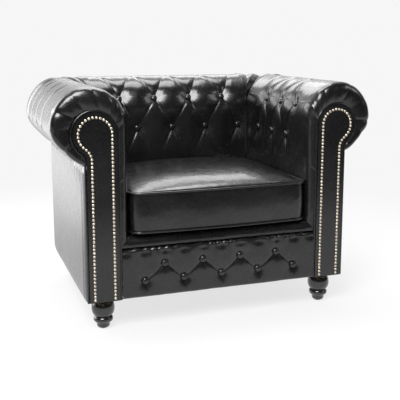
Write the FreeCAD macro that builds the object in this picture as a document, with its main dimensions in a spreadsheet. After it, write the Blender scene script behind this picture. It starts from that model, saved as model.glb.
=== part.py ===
import FreeCAD, Part

import math
import os

import Sketcher

# Chesterfield armchair, millimetres. +Z is up, the front faces -Y, and the floor is z = 0.
# "left" and "right" are the sides as seen from the front, so right is +X.
# The right half is modelled and mirrored where the chair is the same on both sides.

Vector = FreeCAD.Vector
Placement = FreeCAD.Placement
Rotation = FreeCAD.Rotation

doc = FreeCAD.newDocument("ChesterfieldArmchair")

# Driving dimensions: name, value, what it measures.
DIMENSIONS = [
    ("overall_depth", 712, "front of the cushion to the back of the rear roll"),
    ("overall_height", 700, "floor to the top of the rolls"),
    ("seat_width", 560, "between the two inside arms"),
    ("arm_thickness", 128, "inside arm to outside panel, below the roll"),
    ("roll_radius", 108, "radius of the arm and back rolls"),
    ("corner_radius", 50, "plan radius of the roll's centre line at the rear corners"),
    ("chassis_height", 93, "floor to the underside of the body"),
    ("cushion_overhang", 12, "how far the cushion stands in front of the arm facings"),
    ("facing_thickness", 8, "covered board nailed to the front of each arm"),
    ("facing_inset", 31, "inside arm to the edge of the facing"),
    ("scroll_radius", 62.5, "radius of the facing's scroll"),
    ("scroll_drop", 19, "how far the scroll's centre lies below the roll's centre"),
    ("scroll_neck", 28, "hollow radius where the scroll meets the straight facing"),
    ("rounding_depth", 33, "how deep the arm's front edge is rounded"),
    ("fold_radius", 4, "tucked fold under the roll"),
    ("foam_thickness", 38, "padding over the arm and back frames"),
    ("lining_thickness", 3, "hardboard bent over the formers"),
    ("panel_thickness", 9, "covered outside panels"),
    ("panel_rounding", 8, "rounded upright edges of the outside arm panels"),
    ("underside_radius", 28, "rounding of the rear bottom edge"),
    ("fit_gap", 0.3, "room between parts that are pushed together"),
    ("board_thickness", 16, "plywood of the stumps and formers"),
    ("rail_thickness", 20, "seat rails"),
    ("rail_top", 235, "floor to the top of the seat rails"),
    ("plate_thickness", 2.5, "steel plates over the feet"),
    ("plate_size", 54, "side of each steel plate"),
    ("cloth_thickness", 1.2, "black cloth under the seat"),
    ("lip_height", 43, "top of the padded seat edge above the rails"),
    ("lip_depth", 66, "front to back of the padded edge"),
    ("apron_rounding", 6, "rounded edges of the tufted border under the seat"),
    ("stump_inset", 3.5, "edge of the facing to the edge of the stump behind it"),
    ("clip_thickness", 1.2, "steel of the spring clips"),
    ("clip_width", 16, "width of a spring clip"),
    ("cushion_gap", 8, "inside arm to the side of the cushion"),
    ("cushion_base", 283, "floor to the underside of the cushion"),
    ("cushion_boxing", 117, "height of the cushion's side walls"),
    ("cushion_crown", 37, "rise of the cushion's top above its piping"),
    ("cushion_bow", 10, "forward bow of the cushion's front"),
    ("cushion_corner", 30, "plan radius of the cushion's corners"),
    ("cushion_back_gap", 8, "inside back to the rear of the cushion"),
    ("case_thickness", 3, "leather and wadding round the cushion's foam"),
    ("welt_radius", 3.2, "piping cord inside its leather"),
    ("spring_count", 5, "serpentine springs across the seat"),
    ("spring_wire", 3.6, "wire of the serpentine springs"),
    ("spring_width", 48, "width of one spring"),
    ("spring_loops", 11, "bends along one spring"),
    ("back_button_pitch", 125, "spacing of the buttons along the back"),
    ("arm_button_pitch", 110, "spacing of the buttons along the arms"),
    ("first_arm_button", 130, "front of the arm to its first button"),
    ("upper_row_rise", 41, "centre of the rolls up to the buttons on them"),
    ("row_spacing", 106, "upper row of buttons down to the lower row"),
    ("apron_button_pitch", 118, "spacing of the buttons along the border"),
    ("apron_upper_row", 190, "floor to the border's upper buttons"),
    ("apron_lower_row", 142, "floor to the border's lower buttons"),
    ("button_diameter", 21, "leather covered buttons"),
    ("button_height", 8, "edge to dome of a button"),
    ("button_depth", 16, "how deep the buttons are drawn into the rolls"),
    ("apron_button_depth", 9, "how deep the buttons are drawn into the border"),
    ("nail_diameter", 8, "decorative nail heads"),
    ("nail_height", 2.6, "dome of a nail head"),
    ("nail_pitch", 10.6, "spacing of the nails"),
    ("nail_margin", 15, "edge of the facing to the line of nails"),
    ("nail_start", 8, "bottom of the facing to its first nail"),
    ("front_foot_x", 72, "inside arm out to a front foot"),
    ("front_foot_y", 52, "arm facing to a front foot"),
    ("foot_bulb_diameter", 71, "widest part of a turned foot"),
    ("foot_ring_diameter", 61, "ring under the waist of a turned foot"),
    ("foot_waist_diameter", 34, "waist between the bulb and the ring"),
    ("foot_ankle_diameter", 46, "top of the taper under the ring"),
    ("foot_toe_diameter", 39, "bottom of a turned foot"),
    ("foot_collar", 3, "straight neck over the bulb of a turned foot"),
    ("rear_foot_x", 50, "inside arm out to a rear foot"),
    ("rear_foot_y", 72, "outside back to a rear foot"),
    ("rear_foot_top", 52, "side of a rear foot at its top"),
    ("rear_foot_toe", 36, "side of a rear foot at its toe"),
    ("glide_diameter", 24, "plastic glide under each foot"),
    ("glide_height", 4, "height of a glide"),
    ("bolt_diameter", 8, "hanger bolt of each foot"),
    ("bolt_length", 88, "length of a hanger bolt"),
    ("bolt_grip", 26, "depth of the bolt in the foot"),
    ("block_height", 48, "corner blocks inside the seat frame"),
    ("block_side", 120, "leg length of a corner block"),
    ("nut_width", 13, "across the flats of the nut on each bolt"),
    ("nut_height", 6.5, "height of the nut on each bolt"),
    ("zip_length", 400, "zip along the back of the cushion"),
    ("zip_width", 26, "width of the zip's tape"),
    ("zip_height", 52, "underside of the cushion to the middle of the zip"),
    ("tape_thickness", 1, "cloth of the zip"),
    ("teeth_width", 6, "width of the closed teeth"),
    ("teeth_height", 2, "how far the teeth stand over the tape"),
    ("slider_length", 12, "length of the zip's slider"),
    ("slider_wall", 1.5, "metal of the slider over the teeth"),
]

sizes = doc.addObject("Spreadsheet::Sheet", "Sizes")
for line, (word, number, note) in enumerate(DIMENSIONS, start=1):
    sizes.set(f"A{line}", word)
    sizes.set(f"B{line}", str(number))
    sizes.set(f"C{line}", note)
    sizes.setAlias(f"B{line}", word)
doc.recompute()


class Size:
    """A length that knows its value and the sheet formula that it comes from."""

    def __init__(self, value, formula):
        self.value = float(value)
        self.formula = formula

    def __add__(self, other):
        other = as_size(other)
        return Size(self.value + other.value, f"({self.formula} + {other.formula})")

    def __sub__(self, other):
        other = as_size(other)
        return Size(self.value - other.value, f"({self.formula} - {other.formula})")

    def __mul__(self, other):
        other = as_size(other)
        return Size(self.value * other.value, f"({self.formula} * {other.formula})")

    def __truediv__(self, other):
        other = as_size(other)
        return Size(self.value / other.value, f"({self.formula} / {other.formula})")

    def __neg__(self):
        return Size(-self.value, f"(0 - {self.formula})")

    def __float__(self):
        return self.value


def as_size(number):
    """A plain number as a Size, so that the two mix."""
    if isinstance(number, Size):
        return number
    return Size(number, repr(float(number)))


def root(size):
    """Square root of a Size."""
    return Size(math.sqrt(size.value), f"sqrt({size.formula})")


def size_of(word):
    """The driving dimension of that name."""
    return Size(sizes.get(word), f"Sizes.{word}")


overall_depth = size_of("overall_depth")
overall_height = size_of("overall_height")
seat_width = size_of("seat_width")
arm_thickness = size_of("arm_thickness")
roll_radius = size_of("roll_radius")
corner_radius = size_of("corner_radius")
chassis_height = size_of("chassis_height")
facing_thickness = size_of("facing_thickness")
scroll_radius = size_of("scroll_radius")
scroll_neck = size_of("scroll_neck")
rounding_depth = size_of("rounding_depth")
fold_radius = size_of("fold_radius")
foam_thickness = size_of("foam_thickness")
lining_thickness = size_of("lining_thickness")
panel_thickness = size_of("panel_thickness")
fit_gap = size_of("fit_gap")
board_thickness = size_of("board_thickness")
rail_thickness = size_of("rail_thickness")
rail_top = size_of("rail_top")
plate_thickness = size_of("plate_thickness")

# Planes and centre lines that the parts share.
front = size_of("cushion_overhang") - overall_depth / 2
inner_x = seat_width / 2
roll_x = inner_x + roll_radius
roll_z = overall_height - roll_radius
outer_x = inner_x + arm_thickness
panel_x = outer_x - panel_thickness
roll_y = overall_depth / 2 - roll_radius
inner_y = roll_y - roll_radius
outer_y = inner_y + arm_thickness
panel_y = outer_y - panel_thickness
corner_x = roll_x - corner_radius
corner_y = roll_y - corner_radius
scroll_x = inner_x + size_of("facing_inset") + scroll_radius
scroll_z = roll_z - size_of("scroll_drop")
facing_back = front + facing_thickness
frame_bottom = chassis_height + plate_thickness
frame_x = panel_x - fit_gap
frame_y = panel_y - fit_gap
stump_back = facing_back + board_thickness
rail_back = stump_back + rail_thickness
cavity_radius = roll_radius - foam_thickness
lining_radius = cavity_radius - fit_gap
former_radius = lining_radius - lining_thickness
band_back = facing_back + rounding_depth
clip_thickness = size_of("clip_thickness")
spring_wire = size_of("spring_wire")
spring_base = rail_top + clip_thickness
deck_base = spring_base + spring_wire + clip_thickness + fit_gap * 3
lip_top = rail_top + size_of("lip_height")
lip_back = facing_back + size_of("lip_depth")
facing_edge = scroll_x - scroll_radius
welt_radius = size_of("welt_radius")
welt_room = welt_radius + fit_gap
welt_reach = welt_room + welt_radius
stump_inset = size_of("stump_inset")
facing_bottom = chassis_height + 1
fold_reach = frame_x + fold_radius - roll_x
fold_z = roll_z - root((roll_radius + fold_radius) * (roll_radius + fold_radius) - fold_reach * fold_reach)
cushion_front = front - size_of("cushion_overhang") + welt_reach
cushion_back = inner_y - size_of("cushion_back_gap")
cushion_base = size_of("cushion_base")


class Arc:
    """An arc leaving a corner: its radius, and whether it turns left, and past half a circle."""

    def __init__(self, radius, left, large=False):
        self.radius = radius
        self.left = left
        self.large = large


def arc_centre(start, end, arc):
    """Centre of the arc from start to end, worked out from its radius and turn."""
    across = end[0] - start[0]
    along = end[1] - start[1]
    chord = math.hypot(across, along)
    height = math.sqrt(max(arc.radius.value ** 2 - chord ** 2 / 4, 0))
    side = 1 if arc.left != arc.large else -1
    middle = ((start[0] + end[0]) / 2, (start[1] + end[1]) / 2)
    return (middle[0] - side * height * along / chord, middle[1] + side * height * across / chord)


def new_body(label):
    """An empty PartDesign body with that label."""
    body = doc.addObject("PartDesign::Body", label)
    body.Label = label
    return body


def new_sketch(body, name, role, offset=None):
    """A sketch on one of the body's origin planes, moved along the plane's normal by offset."""
    sketch = body.newObject("Sketcher::SketchObject", name)
    plane = [item for item in body.Origin.OriginFeatures if item.Role == role][0]
    sketch.AttachmentSupport = [(plane, "")]
    sketch.MapMode = "FlatFace"
    if offset is not None:
        sketch.setExpression(".AttachmentOffset.Base.z", offset.formula)
    return sketch


def fix_point(sketch, edge, end, corner):
    """Ties one end of an edge to its two coordinates."""
    for kind, size in (("DistanceX", corner[0]), ("DistanceY", corner[1])):
        size = as_size(size)
        number = sketch.addConstraint(Sketcher.Constraint(kind, -1, 1, edge, end, size.value))
        sketch.setExpression(f"Constraints[{number}]", size.formula)


def draw_outline(sketch, corners, closed=True):
    """Draws an outline. A corner is (across, up), or (across, up, Arc) where an arc leaves it."""
    places = [(float(as_size(corner[0])), float(as_size(corner[1]))) for corner in corners]
    edges = len(corners) if closed else len(corners) - 1
    ends = []
    for number in range(edges):
        corner = corners[number]
        start = places[number]
        end = places[(number + 1) % len(places)]
        if len(corner) == 2:
            sketch.addGeometry(Part.LineSegment(Vector(*start, 0), Vector(*end, 0)))
            ends.append((1, 2))
            continue
        arc = corner[2]
        centre = arc_centre(start, end, arc)
        first, last = (start, end) if arc.left else (end, start)
        angles = [math.atan2(point[1] - centre[1], point[0] - centre[0]) for point in (first, last)]
        if angles[1] <= angles[0]:
            angles[1] += 2 * math.pi
        circle = Part.Circle(Vector(*centre, 0), Vector(0, 0, 1), arc.radius.value)
        sketch.addGeometry(Part.ArcOfCircle(circle, *angles))
        ends.append((1, 2) if arc.left else (2, 1))
    for number in range(edges):
        following = (number + 1) % edges
        if closed or following:
            sketch.addConstraint(Sketcher.Constraint(
                "Coincident", number, ends[number][1], following, ends[following][0]))
        fix_point(sketch, number, ends[number][0], corners[number])
        if len(corners[number]) == 3:
            radius = corners[number][2].radius
            index = sketch.addConstraint(Sketcher.Constraint("Radius", number, radius.value))
            sketch.setExpression(f"Constraints[{index}]", radius.formula)
    if not closed:
        fix_point(sketch, edges - 1, ends[-1][1], corners[-1])


def place_circle(sketch, centre, radius):
    """A circle tied to its centre and radius."""
    circle = Part.Circle(Vector(float(centre[0]), float(centre[1]), 0), Vector(0, 0, 1), float(radius))
    edge = sketch.addGeometry(circle)
    fix_point(sketch, edge, 3, centre)
    index = sketch.addConstraint(Sketcher.Constraint("Radius", edge, float(radius)))
    sketch.setExpression(f"Constraints[{index}]", as_size(radius).formula)


def path_wire(corners, y):
    """An open outline as a wire across Y."""
    places = [(float(as_size(corner[0])), float(as_size(corner[1]))) for corner in corners]
    edges = []
    for number, corner in enumerate(corners[:-1]):
        start = places[number]
        end = places[number + 1]
        first = Vector(start[0], y, start[1])
        last = Vector(end[0], y, end[1])
        if len(corner) == 2:
            edges.append(Part.LineSegment(first, last).toShape())
            continue
        centre = arc_centre(start, end, corner[2])
        turn = 1 if corner[2].left else -1
        begin = math.atan2(start[1] - centre[1], start[0] - centre[0])
        sweep = (math.atan2(end[1] - centre[1], end[0] - centre[0]) - begin) * turn % (2 * math.pi)
        halfway = begin + turn * sweep / 2
        radius = corner[2].radius.value
        middle = Vector(centre[0] + radius * math.cos(halfway), y, centre[1] + radius * math.sin(halfway))
        edges.append(Part.Arc(first, middle, last).toShape())
    return Part.Wire(edges)


def outline(body, name, role, corners, offset=None, closed=True):
    """An outline on one of the body's own planes."""
    sketch = new_sketch(body, name, role, offset)
    draw_outline(sketch, corners, closed)
    return sketch


SIDE_ON = {
    "across_x": ("x", Rotation(Vector(1, 1, 1), 120)),
    "across_y": ("y", Rotation(Vector(1, 0, 0), 90)),
    "across_z": ("z", Rotation()),
}


def free_outline(name, facing, corners, offset):
    """A closed outline that stands across an axis, at a place along it."""
    axis, turn = SIDE_ON[facing]
    sketch = doc.addObject("Sketcher::SketchObject", name)
    sketch.Placement = Placement(Vector(), turn)
    sketch.setExpression(f".Placement.Base.{axis}", as_size(offset).formula)
    draw_outline(sketch, corners)
    return sketch


def prism(name, facing, corners, start, end):
    """An outline drawn out between two places along an axis."""
    start = as_size(start)
    solid = doc.addObject("Part::Extrusion", name)
    solid.Base = free_outline(f"{name}_outline", facing, corners, start)
    solid.DirMode = "Custom"
    solid.Dir = {"across_x": Vector(1, 0, 0), "across_y": Vector(0, 1, 0), "across_z": Vector(0, 0, 1)}[facing]
    solid.setExpression("LengthFwd", (as_size(end) - start).formula)
    solid.Solid = True
    return solid


def turned(name, facing, corners, offset, degrees):
    """An outline swung about the upright axis of the right rear corner."""
    solid = doc.addObject("Part::Revolution", name)
    solid.Source = free_outline(f"{name}_outline", facing, corners, offset)
    solid.Axis = Vector(0, 0, 1)
    solid.setExpression(".Base.x", corner_x.formula)
    solid.setExpression(".Base.y", corner_y.formula)
    solid.Angle = degrees
    solid.Solid = True
    return solid


def fuse(label, shapes):
    """Several shapes joined."""
    result = doc.addObject("Part::MultiFuse", label)
    result.Label = label
    result.Shapes = shapes
    return result


def pad(body, name, sketch, length, reverse=False):
    """Material added over a sketch."""
    feature = body.newObject("PartDesign::Pad", name)
    feature.Profile = sketch
    feature.Reversed = reverse
    feature.setExpression("Length", length.formula)
    return feature


def pocket(body, name, sketch, length):
    """Material cut away under a sketch."""
    feature = body.newObject("PartDesign::Pocket", name)
    feature.Profile = sketch
    feature.setExpression("Length", length.formula)
    return feature


def rectangle(left, bottom, right, top):
    """Corners of a rectangle."""
    return [(left, bottom), (right, bottom), (right, top), (left, top)]


def along_y(body, name, corners, start, end):
    """A pad between two planes across Y. Sketches on the XZ plane face -Y."""
    sketch = outline(body, f"{name}_outline", "XZ_Plane", corners, -start)
    return pad(body, name, sketch, end - start, reverse=True)


def along_z(body, name, corners, start, end):
    """A pad between two heights."""
    sketch = outline(body, f"{name}_outline", "XY_Plane", corners, start)
    return pad(body, name, sketch, end - start)


def cut_along_z(body, name, corners, start, end):
    """A pocket between two heights."""
    sketch = outline(body, f"{name}_outline", "XY_Plane", corners, end)
    return pocket(body, name, sketch, end - start)


def along_x(body, name, corners, start, end):
    """A pad between two planes across X."""
    sketch = outline(body, f"{name}_outline", "YZ_Plane", corners, start)
    return pad(body, name, sketch, end - start)


def cut_along_x(body, name, corners, start, end):
    """A pocket between two planes across X."""
    sketch = outline(body, f"{name}_outline", "YZ_Plane", corners, end)
    return pocket(body, name, sketch, end - start)


def plain_box(label, low, high):
    """A rectangular piece of timber or sheet between two corners."""
    block = doc.addObject("Part::Box", label)
    block.Label = label
    for number, (side, axis) in enumerate((("Length", "x"), ("Width", "y"), ("Height", "z"))):
        start = as_size(low[number])
        end = as_size(high[number])
        block.setExpression(side, (end - start).formula)
        block.setExpression(f".Placement.Base.{axis}", start.formula)
    return block


def mirrored(label, source):
    """The same piece on the other side of the chair."""
    twin = doc.addObject("Part::Mirroring", label)
    twin.Label = label
    twin.Source = source
    twin.Normal = (1, 0, 0)
    return twin


def cut(label, base, tool):
    """One shape less another."""
    result = doc.addObject("Part::Cut", label)
    result.Label = label
    result.Base = base
    result.Tool = tool
    return result


def common(label, first, second):
    """What two shapes share."""
    result = doc.addObject("Part::Common", label)
    result.Label = label
    result.Base = first
    result.Tool = second
    return result


def bundle(label, pieces):
    """Several like pieces kept under one name."""
    result = doc.addObject("Part::Compound", label)
    result.Label = label
    result.Links = pieces
    return result


def group(label, shapes):
    """Several like solids kept as one named piece."""
    feature = doc.addObject("Part::Feature", label)
    feature.Label = label
    feature.Shape = Part.makeCompound(shapes)
    return feature


def keyhole(centre_x, centre_z, radius, outer, neck, bottom):
    """Keyhole outline: straight post below, scroll above that leans outwards over a hollow neck."""
    across = outer + neck - centre_x
    reach = radius + neck
    drop = root(reach * reach - across * across)
    share = radius / reach
    return [
        (centre_x - radius, bottom),
        (centre_x - radius, centre_z, Arc(radius, left=False, large=True)),
        (centre_x + share * across, centre_z - share * drop, Arc(neck, left=True)),
        (outer, centre_z - drop),
        (outer, bottom),
    ]


def facing_keyhole(inset, bottom):
    """The facing's outline, drawn in by an inset."""
    return keyhole(scroll_x, scroll_z, scroll_radius - inset, panel_x - inset, scroll_neck + inset, bottom)


def roll_section(centre, radius, outer, bottom):
    """Upright board with a full roll on top, for the parts inside the padding."""
    across = outer - centre[0]
    drop = root(radius * radius - across * across)
    return [
        (centre[0] - radius, bottom),
        (centre[0] - radius, centre[1], Arc(radius, left=False, large=True)),
        (outer, centre[1] - drop),
        (outer, bottom),
    ]


def roll_sheet(centre, outside, inside, outer, bottom):
    """Sheet bent over a roll, down the inside face to bottom and under the roll to outer."""
    across = outer - centre[0]
    outside_drop = root(outside * outside - across * across)
    inside_drop = root(inside * inside - across * across)
    return [
        (centre[0] - outside, bottom),
        (centre[0] - outside, centre[1], Arc(outside, left=False, large=True)),
        (outer, centre[1] - outside_drop),
        (outer, centre[1] - inside_drop, Arc(inside, left=True, large=True)),
        (centre[0] - inside, centre[1]),
        (centre[0] - inside, bottom),
    ]


def beyond_corner(corners, edge, centre, radius):
    """The part of a roll's outline that lies beyond the corner's axis."""
    rise = root(radius * radius - corner_radius * corner_radius)
    return [(edge, corners[0][1]), (edge, centre[1] + rise, corners[1][2])] + corners[2:]


MITRE = 45
BAND_STEPS = 4
PIT_FLARE = 0.8
BUTTON_RIM = 0.35
BUTTON_CROWN = 0.64


def band_section(number):
    """One outline of the arm's rounded front edge, from the facing to the full roll."""
    angle = math.radians(90 * number / BAND_STEPS)
    growth = math.sin(angle)
    place = facing_back + rounding_depth * (1 - math.cos(angle))
    section = keyhole(
        scroll_x + (roll_x - scroll_x) * growth,
        scroll_z + (roll_z - scroll_z) * growth,
        scroll_radius + (roll_radius - scroll_radius) * growth,
        frame_x,
        scroll_neck + (fold_radius - scroll_neck) * growth,
        deck_base,
    )
    return free_outline(f"arm_band_{number}", "across_y", section, place)


def button_pits(name, places, depth):
    """Cones that draw the padding in to each button."""
    width = size_of("button_diameter").value
    shapes = []
    for point, normal in places:
        start = point - normal * (depth + fit_gap.value)
        wide = width / 2 + fit_gap.value * 2
        length = depth + fit_gap.value + width / 4
        shapes.append(Part.makeCone(wide, wide + length * PIT_FLARE, length, start, normal))
    return group(name, shapes)


def button_group(label, places, depth):
    """Covered buttons seated in their pits, a domed disc for each."""
    width = size_of("button_diameter").value
    height = size_of("button_height").value
    shapes = []
    for point, normal in places:
        seat = point - normal * depth
        rim = Part.makeCylinder(width / 2, height * BUTTON_RIM, seat, normal)
        shoulder = seat + normal * height * BUTTON_RIM
        dome = Part.makeCone(width / 2, width / 2 * BUTTON_CROWN, height * (1 - BUTTON_RIM), shoulder, normal)
        shapes.append(rim.fuse(dome).removeSplitter())
    return group(label, shapes)


def on_roll(height):
    """How far the padding's face has leaned back at a height, and its normal's tilt."""
    rise = max(height - roll_z.value, 0)
    tilt = math.asin(rise / roll_radius.value)
    return roll_radius.value * (1 - math.cos(tilt)), tilt


upper_row = roll_z.value + size_of("upper_row_rise").value
lower_row = upper_row - size_of("row_spacing").value


def arm_button_places():
    """Centre and outward normal of the right arm's buttons, on the padding's plain face."""
    places = []
    pitch = size_of("arm_button_pitch").value
    first = front.value + size_of("first_arm_button").value
    for height, shift in ((upper_row, 0), (lower_row, pitch / 2)):
        lean, tilt = on_roll(height)
        normal = Vector(-math.cos(tilt), 0, math.sin(tilt))
        for number in range(3):
            y = first + shift + number * pitch
            places.append((Vector(inner_x.value + lean, y, height), normal))
    return places


def back_button_places():
    """Centre and outward normal of the buttons along the back."""
    places = []
    pitch = size_of("back_button_pitch").value
    for height, columns in ((upper_row, (-1.5, -0.5, 0.5, 1.5)), (lower_row, (-2, -1, 0, 1, 2))):
        lean, tilt = on_roll(height)
        normal = Vector(0, -math.cos(tilt), math.sin(tilt))
        for column in columns:
            places.append((Vector(column * pitch, inner_y.value + lean, height), normal))
    return places


def apron_button_places():
    """Centre and outward normal of the buttons in the border under the seat."""
    pitch = size_of("apron_button_pitch").value
    places = []
    for word, columns in (
            ("apron_upper_row", (-1.5, -0.5, 0.5, 1.5)), ("apron_lower_row", (-2, -1, 0, 1, 2))):
        for column in columns:
            places.append((Vector(column * pitch, front.value, size_of(word).value), Vector(0, -1, 0)))
    return places


def make_arm():
    """The right arm: stump, former, rails, lining, padding, facing and outside panel."""
    stump = new_body("arm_stump_right")
    stump_outline = keyhole(
        scroll_x, scroll_z, scroll_radius - stump_inset, frame_x, scroll_neck + stump_inset, frame_bottom)
    along_y(stump, "stump_board", stump_outline, facing_back, stump_back)

    former = new_body("arm_former_right")
    former_outline = roll_section((roll_x, roll_z), former_radius, frame_x, rail_top)
    along_y(former, "arm_former_board", former_outline, inner_y, inner_y + board_thickness)

    half_rail = rail_thickness / 2
    top_rail = plain_box(
        "arm_top_rail_right",
        (roll_x - half_rail, stump_back, roll_z - rail_thickness),
        (roll_x + half_rail, inner_y, roll_z + half_rail))
    tack_x = roll_x - former_radius
    tack_base = deck_base + size_of("lip_height") / 2
    tack_rail = plain_box(
        "arm_tack_rail_right",
        (tack_x, stump_back, tack_base),
        (tack_x + rail_thickness, inner_y, tack_base + rail_thickness * 2))

    lining = new_body("arm_lining_right")
    lining_outline = roll_sheet((roll_x, roll_z), lining_radius, former_radius, frame_x, tack_base)
    along_y(lining, "arm_lining_sheet", lining_outline, stump_back, inner_y + board_thickness)

    band = doc.addObject("Part::Loft", "arm_band_right")
    band.Sections = [band_section(number) for number in range(BAND_STEPS + 1)]
    band.Solid = True
    band.Ruled = True
    roll = keyhole(roll_x, roll_z, roll_radius, frame_x, fold_radius, deck_base)
    hollow = roll_section((roll_x, roll_z), cavity_radius, frame_x, deck_base)
    padding = fuse("arm_padding_right", [
        band,
        prism("arm_roll_right", "across_y", roll, band_back, corner_y),
        turned("arm_corner_right", "across_y",
               beyond_corner(roll, corner_x, (roll_x, roll_z), roll_radius), corner_y, MITRE),
    ])
    stump_room = keyhole(
        scroll_x, scroll_z, scroll_radius - stump_inset + fit_gap, frame_x,
        scroll_neck + stump_inset - fit_gap, deck_base)
    mitre = [(inner_x - 1, inner_y - 1), (corner_x, corner_y), (inner_x - 1, corner_y)]
    lip_mitre = [(inner_x - 1, deck_base - 1), (facing_edge + 1, deck_base - 1), (inner_x - 1, lip_top + 1)]
    hollows = fuse("arm_hollows_right", [
        prism("stump_room_right", "across_y", stump_room, facing_back, stump_back),
        prism("arm_hollow_right", "across_y", hollow, stump_back, corner_y),
        turned("arm_corner_hollow_right", "across_y",
               beyond_corner(hollow, corner_x, (roll_x, roll_z), cavity_radius), corner_y, MITRE),
        prism("arm_mitre_right", "across_z", mitre, deck_base, overall_height + 1),
        prism("arm_lip_mitre_right", "across_y", lip_mitre, facing_back, lip_back),
        button_pits("arm_pits_right", arm_button_places(), size_of("button_depth").value),
    ])
    pad_right = cut("arm_pad_right", padding, hollows)

    facing = new_body("arm_facing_right")
    along_y(facing, "facing_board", facing_keyhole(as_size(0), facing_bottom), front, facing_back)

    welt = new_body("facing_welt_right")
    path = outline(welt, "welt_path", "XZ_Plane", facing_keyhole(-welt_room, facing_bottom),
                   welt_room - facing_back, closed=False)
    ring = new_sketch(welt, "welt_ring", "XY_Plane", facing_bottom)
    centre = (facing_edge - welt_room, facing_back - welt_room)
    place_circle(ring, centre, welt_radius)
    pipe = welt.newObject("PartDesign::AdditivePipe", "welt_cord")
    pipe.Profile = ring
    pipe.Spine = path

    nails = group("facing_nails_right", nail_heads())

    edge = size_of("panel_rounding")
    plan = prism("outside_arm_plan", "across_z", [
        (panel_x, facing_back),
        (outer_x - edge, facing_back, Arc(edge, left=True)),
        (outer_x, facing_back + edge),
        (outer_x, outer_y - edge, Arc(edge, left=True)),
        (outer_x - edge, outer_y),
        (panel_x, outer_y),
    ], chassis_height, fold_z - fit_gap)
    underside = size_of("underside_radius")
    side = prism("outside_arm_side", "across_x", [
        (facing_back, chassis_height),
        (outer_y - underside, chassis_height, Arc(underside, left=True)),
        (outer_y, chassis_height + underside),
        (outer_y, fold_z),
        (facing_back, fold_z),
    ], panel_x, outer_x)
    outside = common("outside_arm_right", plan, side)

    buttons = button_group("arm_buttons_right", arm_button_places(), size_of("button_depth").value)
    return [stump, former, top_rail, tack_rail, lining, pad_right, facing, welt, nails, outside, buttons]


NAIL_SIDES = 6
NAIL_CROWN = 0.55


def nail_heads():
    """Decorative nails in a row round the facing, each a low faceted dome."""
    radius = size_of("nail_diameter").value / 2
    rise = size_of("nail_height").value
    margin = size_of("nail_margin")
    row = path_wire(facing_keyhole(margin, facing_bottom + size_of("nail_start")), front.value)
    steps = round(row.Length / size_of("nail_pitch").value)
    heads = []
    for point in row.discretize(Number=steps + 1):
        rings = []
        for reach, height in ((radius, 0), (radius * NAIL_CROWN, rise)):
            corners = []
            for number in range(NAIL_SIDES + 1):
                angle = 2 * math.pi * number / NAIL_SIDES
                corners.append(point + Vector(reach * math.cos(angle), -height, reach * math.sin(angle)))
            rings.append(Part.makePolygon(corners))
        heads.append(Part.makeLoft(rings, True, True))
    return heads


def make_back():
    """The back: formers, rails, lining, tufted padding, buttons and the outside panel."""
    former_section = roll_section((roll_y, roll_z), former_radius, frame_y, rail_top)
    half_board = board_thickness / 2
    rail_half = rail_thickness / 2
    notch = rectangle(
        roll_y - rail_half - fit_gap, roll_z - rail_thickness - fit_gap,
        roll_y + rail_half + fit_gap, roll_z + rail_half + fit_gap)
    pieces = []
    middle = new_body("back_former_middle")
    middle_section = roll_section((roll_y, roll_z), former_radius, frame_y, deck_base)
    along_x(middle, "middle_former_board", middle_section, -half_board, half_board)
    cut_along_x(middle, "middle_former_notch", notch, -half_board, half_board)
    right = new_body("back_former_right")
    along_x(right, "right_former_board", former_section, inner_x, inner_x + board_thickness)
    pieces += [middle, right, mirrored("back_former_left", right)]

    pieces.append(plain_box(
        "back_top_rail",
        (-inner_x, roll_y - rail_half, roll_z - rail_thickness),
        (inner_x, roll_y + rail_half, roll_z + rail_half)))

    sheet = new_body("back_lining")
    tack_base = deck_base + size_of("lip_height") / 2
    sheet_outline = roll_sheet((roll_y, roll_z), lining_radius, former_radius, frame_y, tack_base)
    along_x(sheet, "back_lining_sheet", sheet_outline, -inner_x - board_thickness, inner_x + board_thickness)
    pieces.append(sheet)

    roll = keyhole(roll_y, roll_z, roll_radius, frame_y, fold_radius, deck_base)
    hollow = roll_section((roll_y, roll_z), cavity_radius, frame_y, deck_base)
    centre = (roll_y, roll_z)
    swing = -MITRE
    corner = turned("back_corner", "across_x",
                    beyond_corner(roll, corner_y, centre, roll_radius), corner_x, swing)
    bend = turned("back_corner_hollow", "across_x",
                  beyond_corner(hollow, corner_y, centre, cavity_radius), corner_x, swing)
    mitre = prism("back_mitre", "across_z", [
        (corner_x, corner_y), (inner_x - 1, inner_y - 1), (corner_x, inner_y - 1)],
        deck_base, overall_height + 1)
    padding = fuse("back_padding", [
        prism("back_roll", "across_x", roll, -corner_x, corner_x),
        corner,
        mirrored("back_corner_twin", corner),
    ])
    hollows = fuse("back_hollows", [
        prism("back_hollow", "across_x", hollow, -corner_x, corner_x),
        bend,
        mirrored("back_corner_hollow_twin", bend),
        mitre,
        mirrored("back_mitre_twin", mitre),
        button_pits("back_pits", back_button_places(), size_of("button_depth").value),
    ])
    pieces.append(cut("back_pad", padding, hollows))
    pieces.append(button_group("back_buttons", back_button_places(), size_of("button_depth").value))

    outside = new_body("outside_back")
    underside = size_of("underside_radius")
    along_x(outside, "outside_back_sheet", [
        (outer_y - underside, chassis_height, Arc(underside, left=True)),
        (outer_y, chassis_height + underside),
        (outer_y, fold_z - fit_gap),
        (panel_y, fold_z - fit_gap),
        (panel_y, chassis_height + underside, Arc(underside - panel_thickness, left=False)),
        (outer_y - underside, chassis_height + panel_thickness),
    ], -panel_x, panel_x)
    pieces.append(outside)
    return pieces


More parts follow.
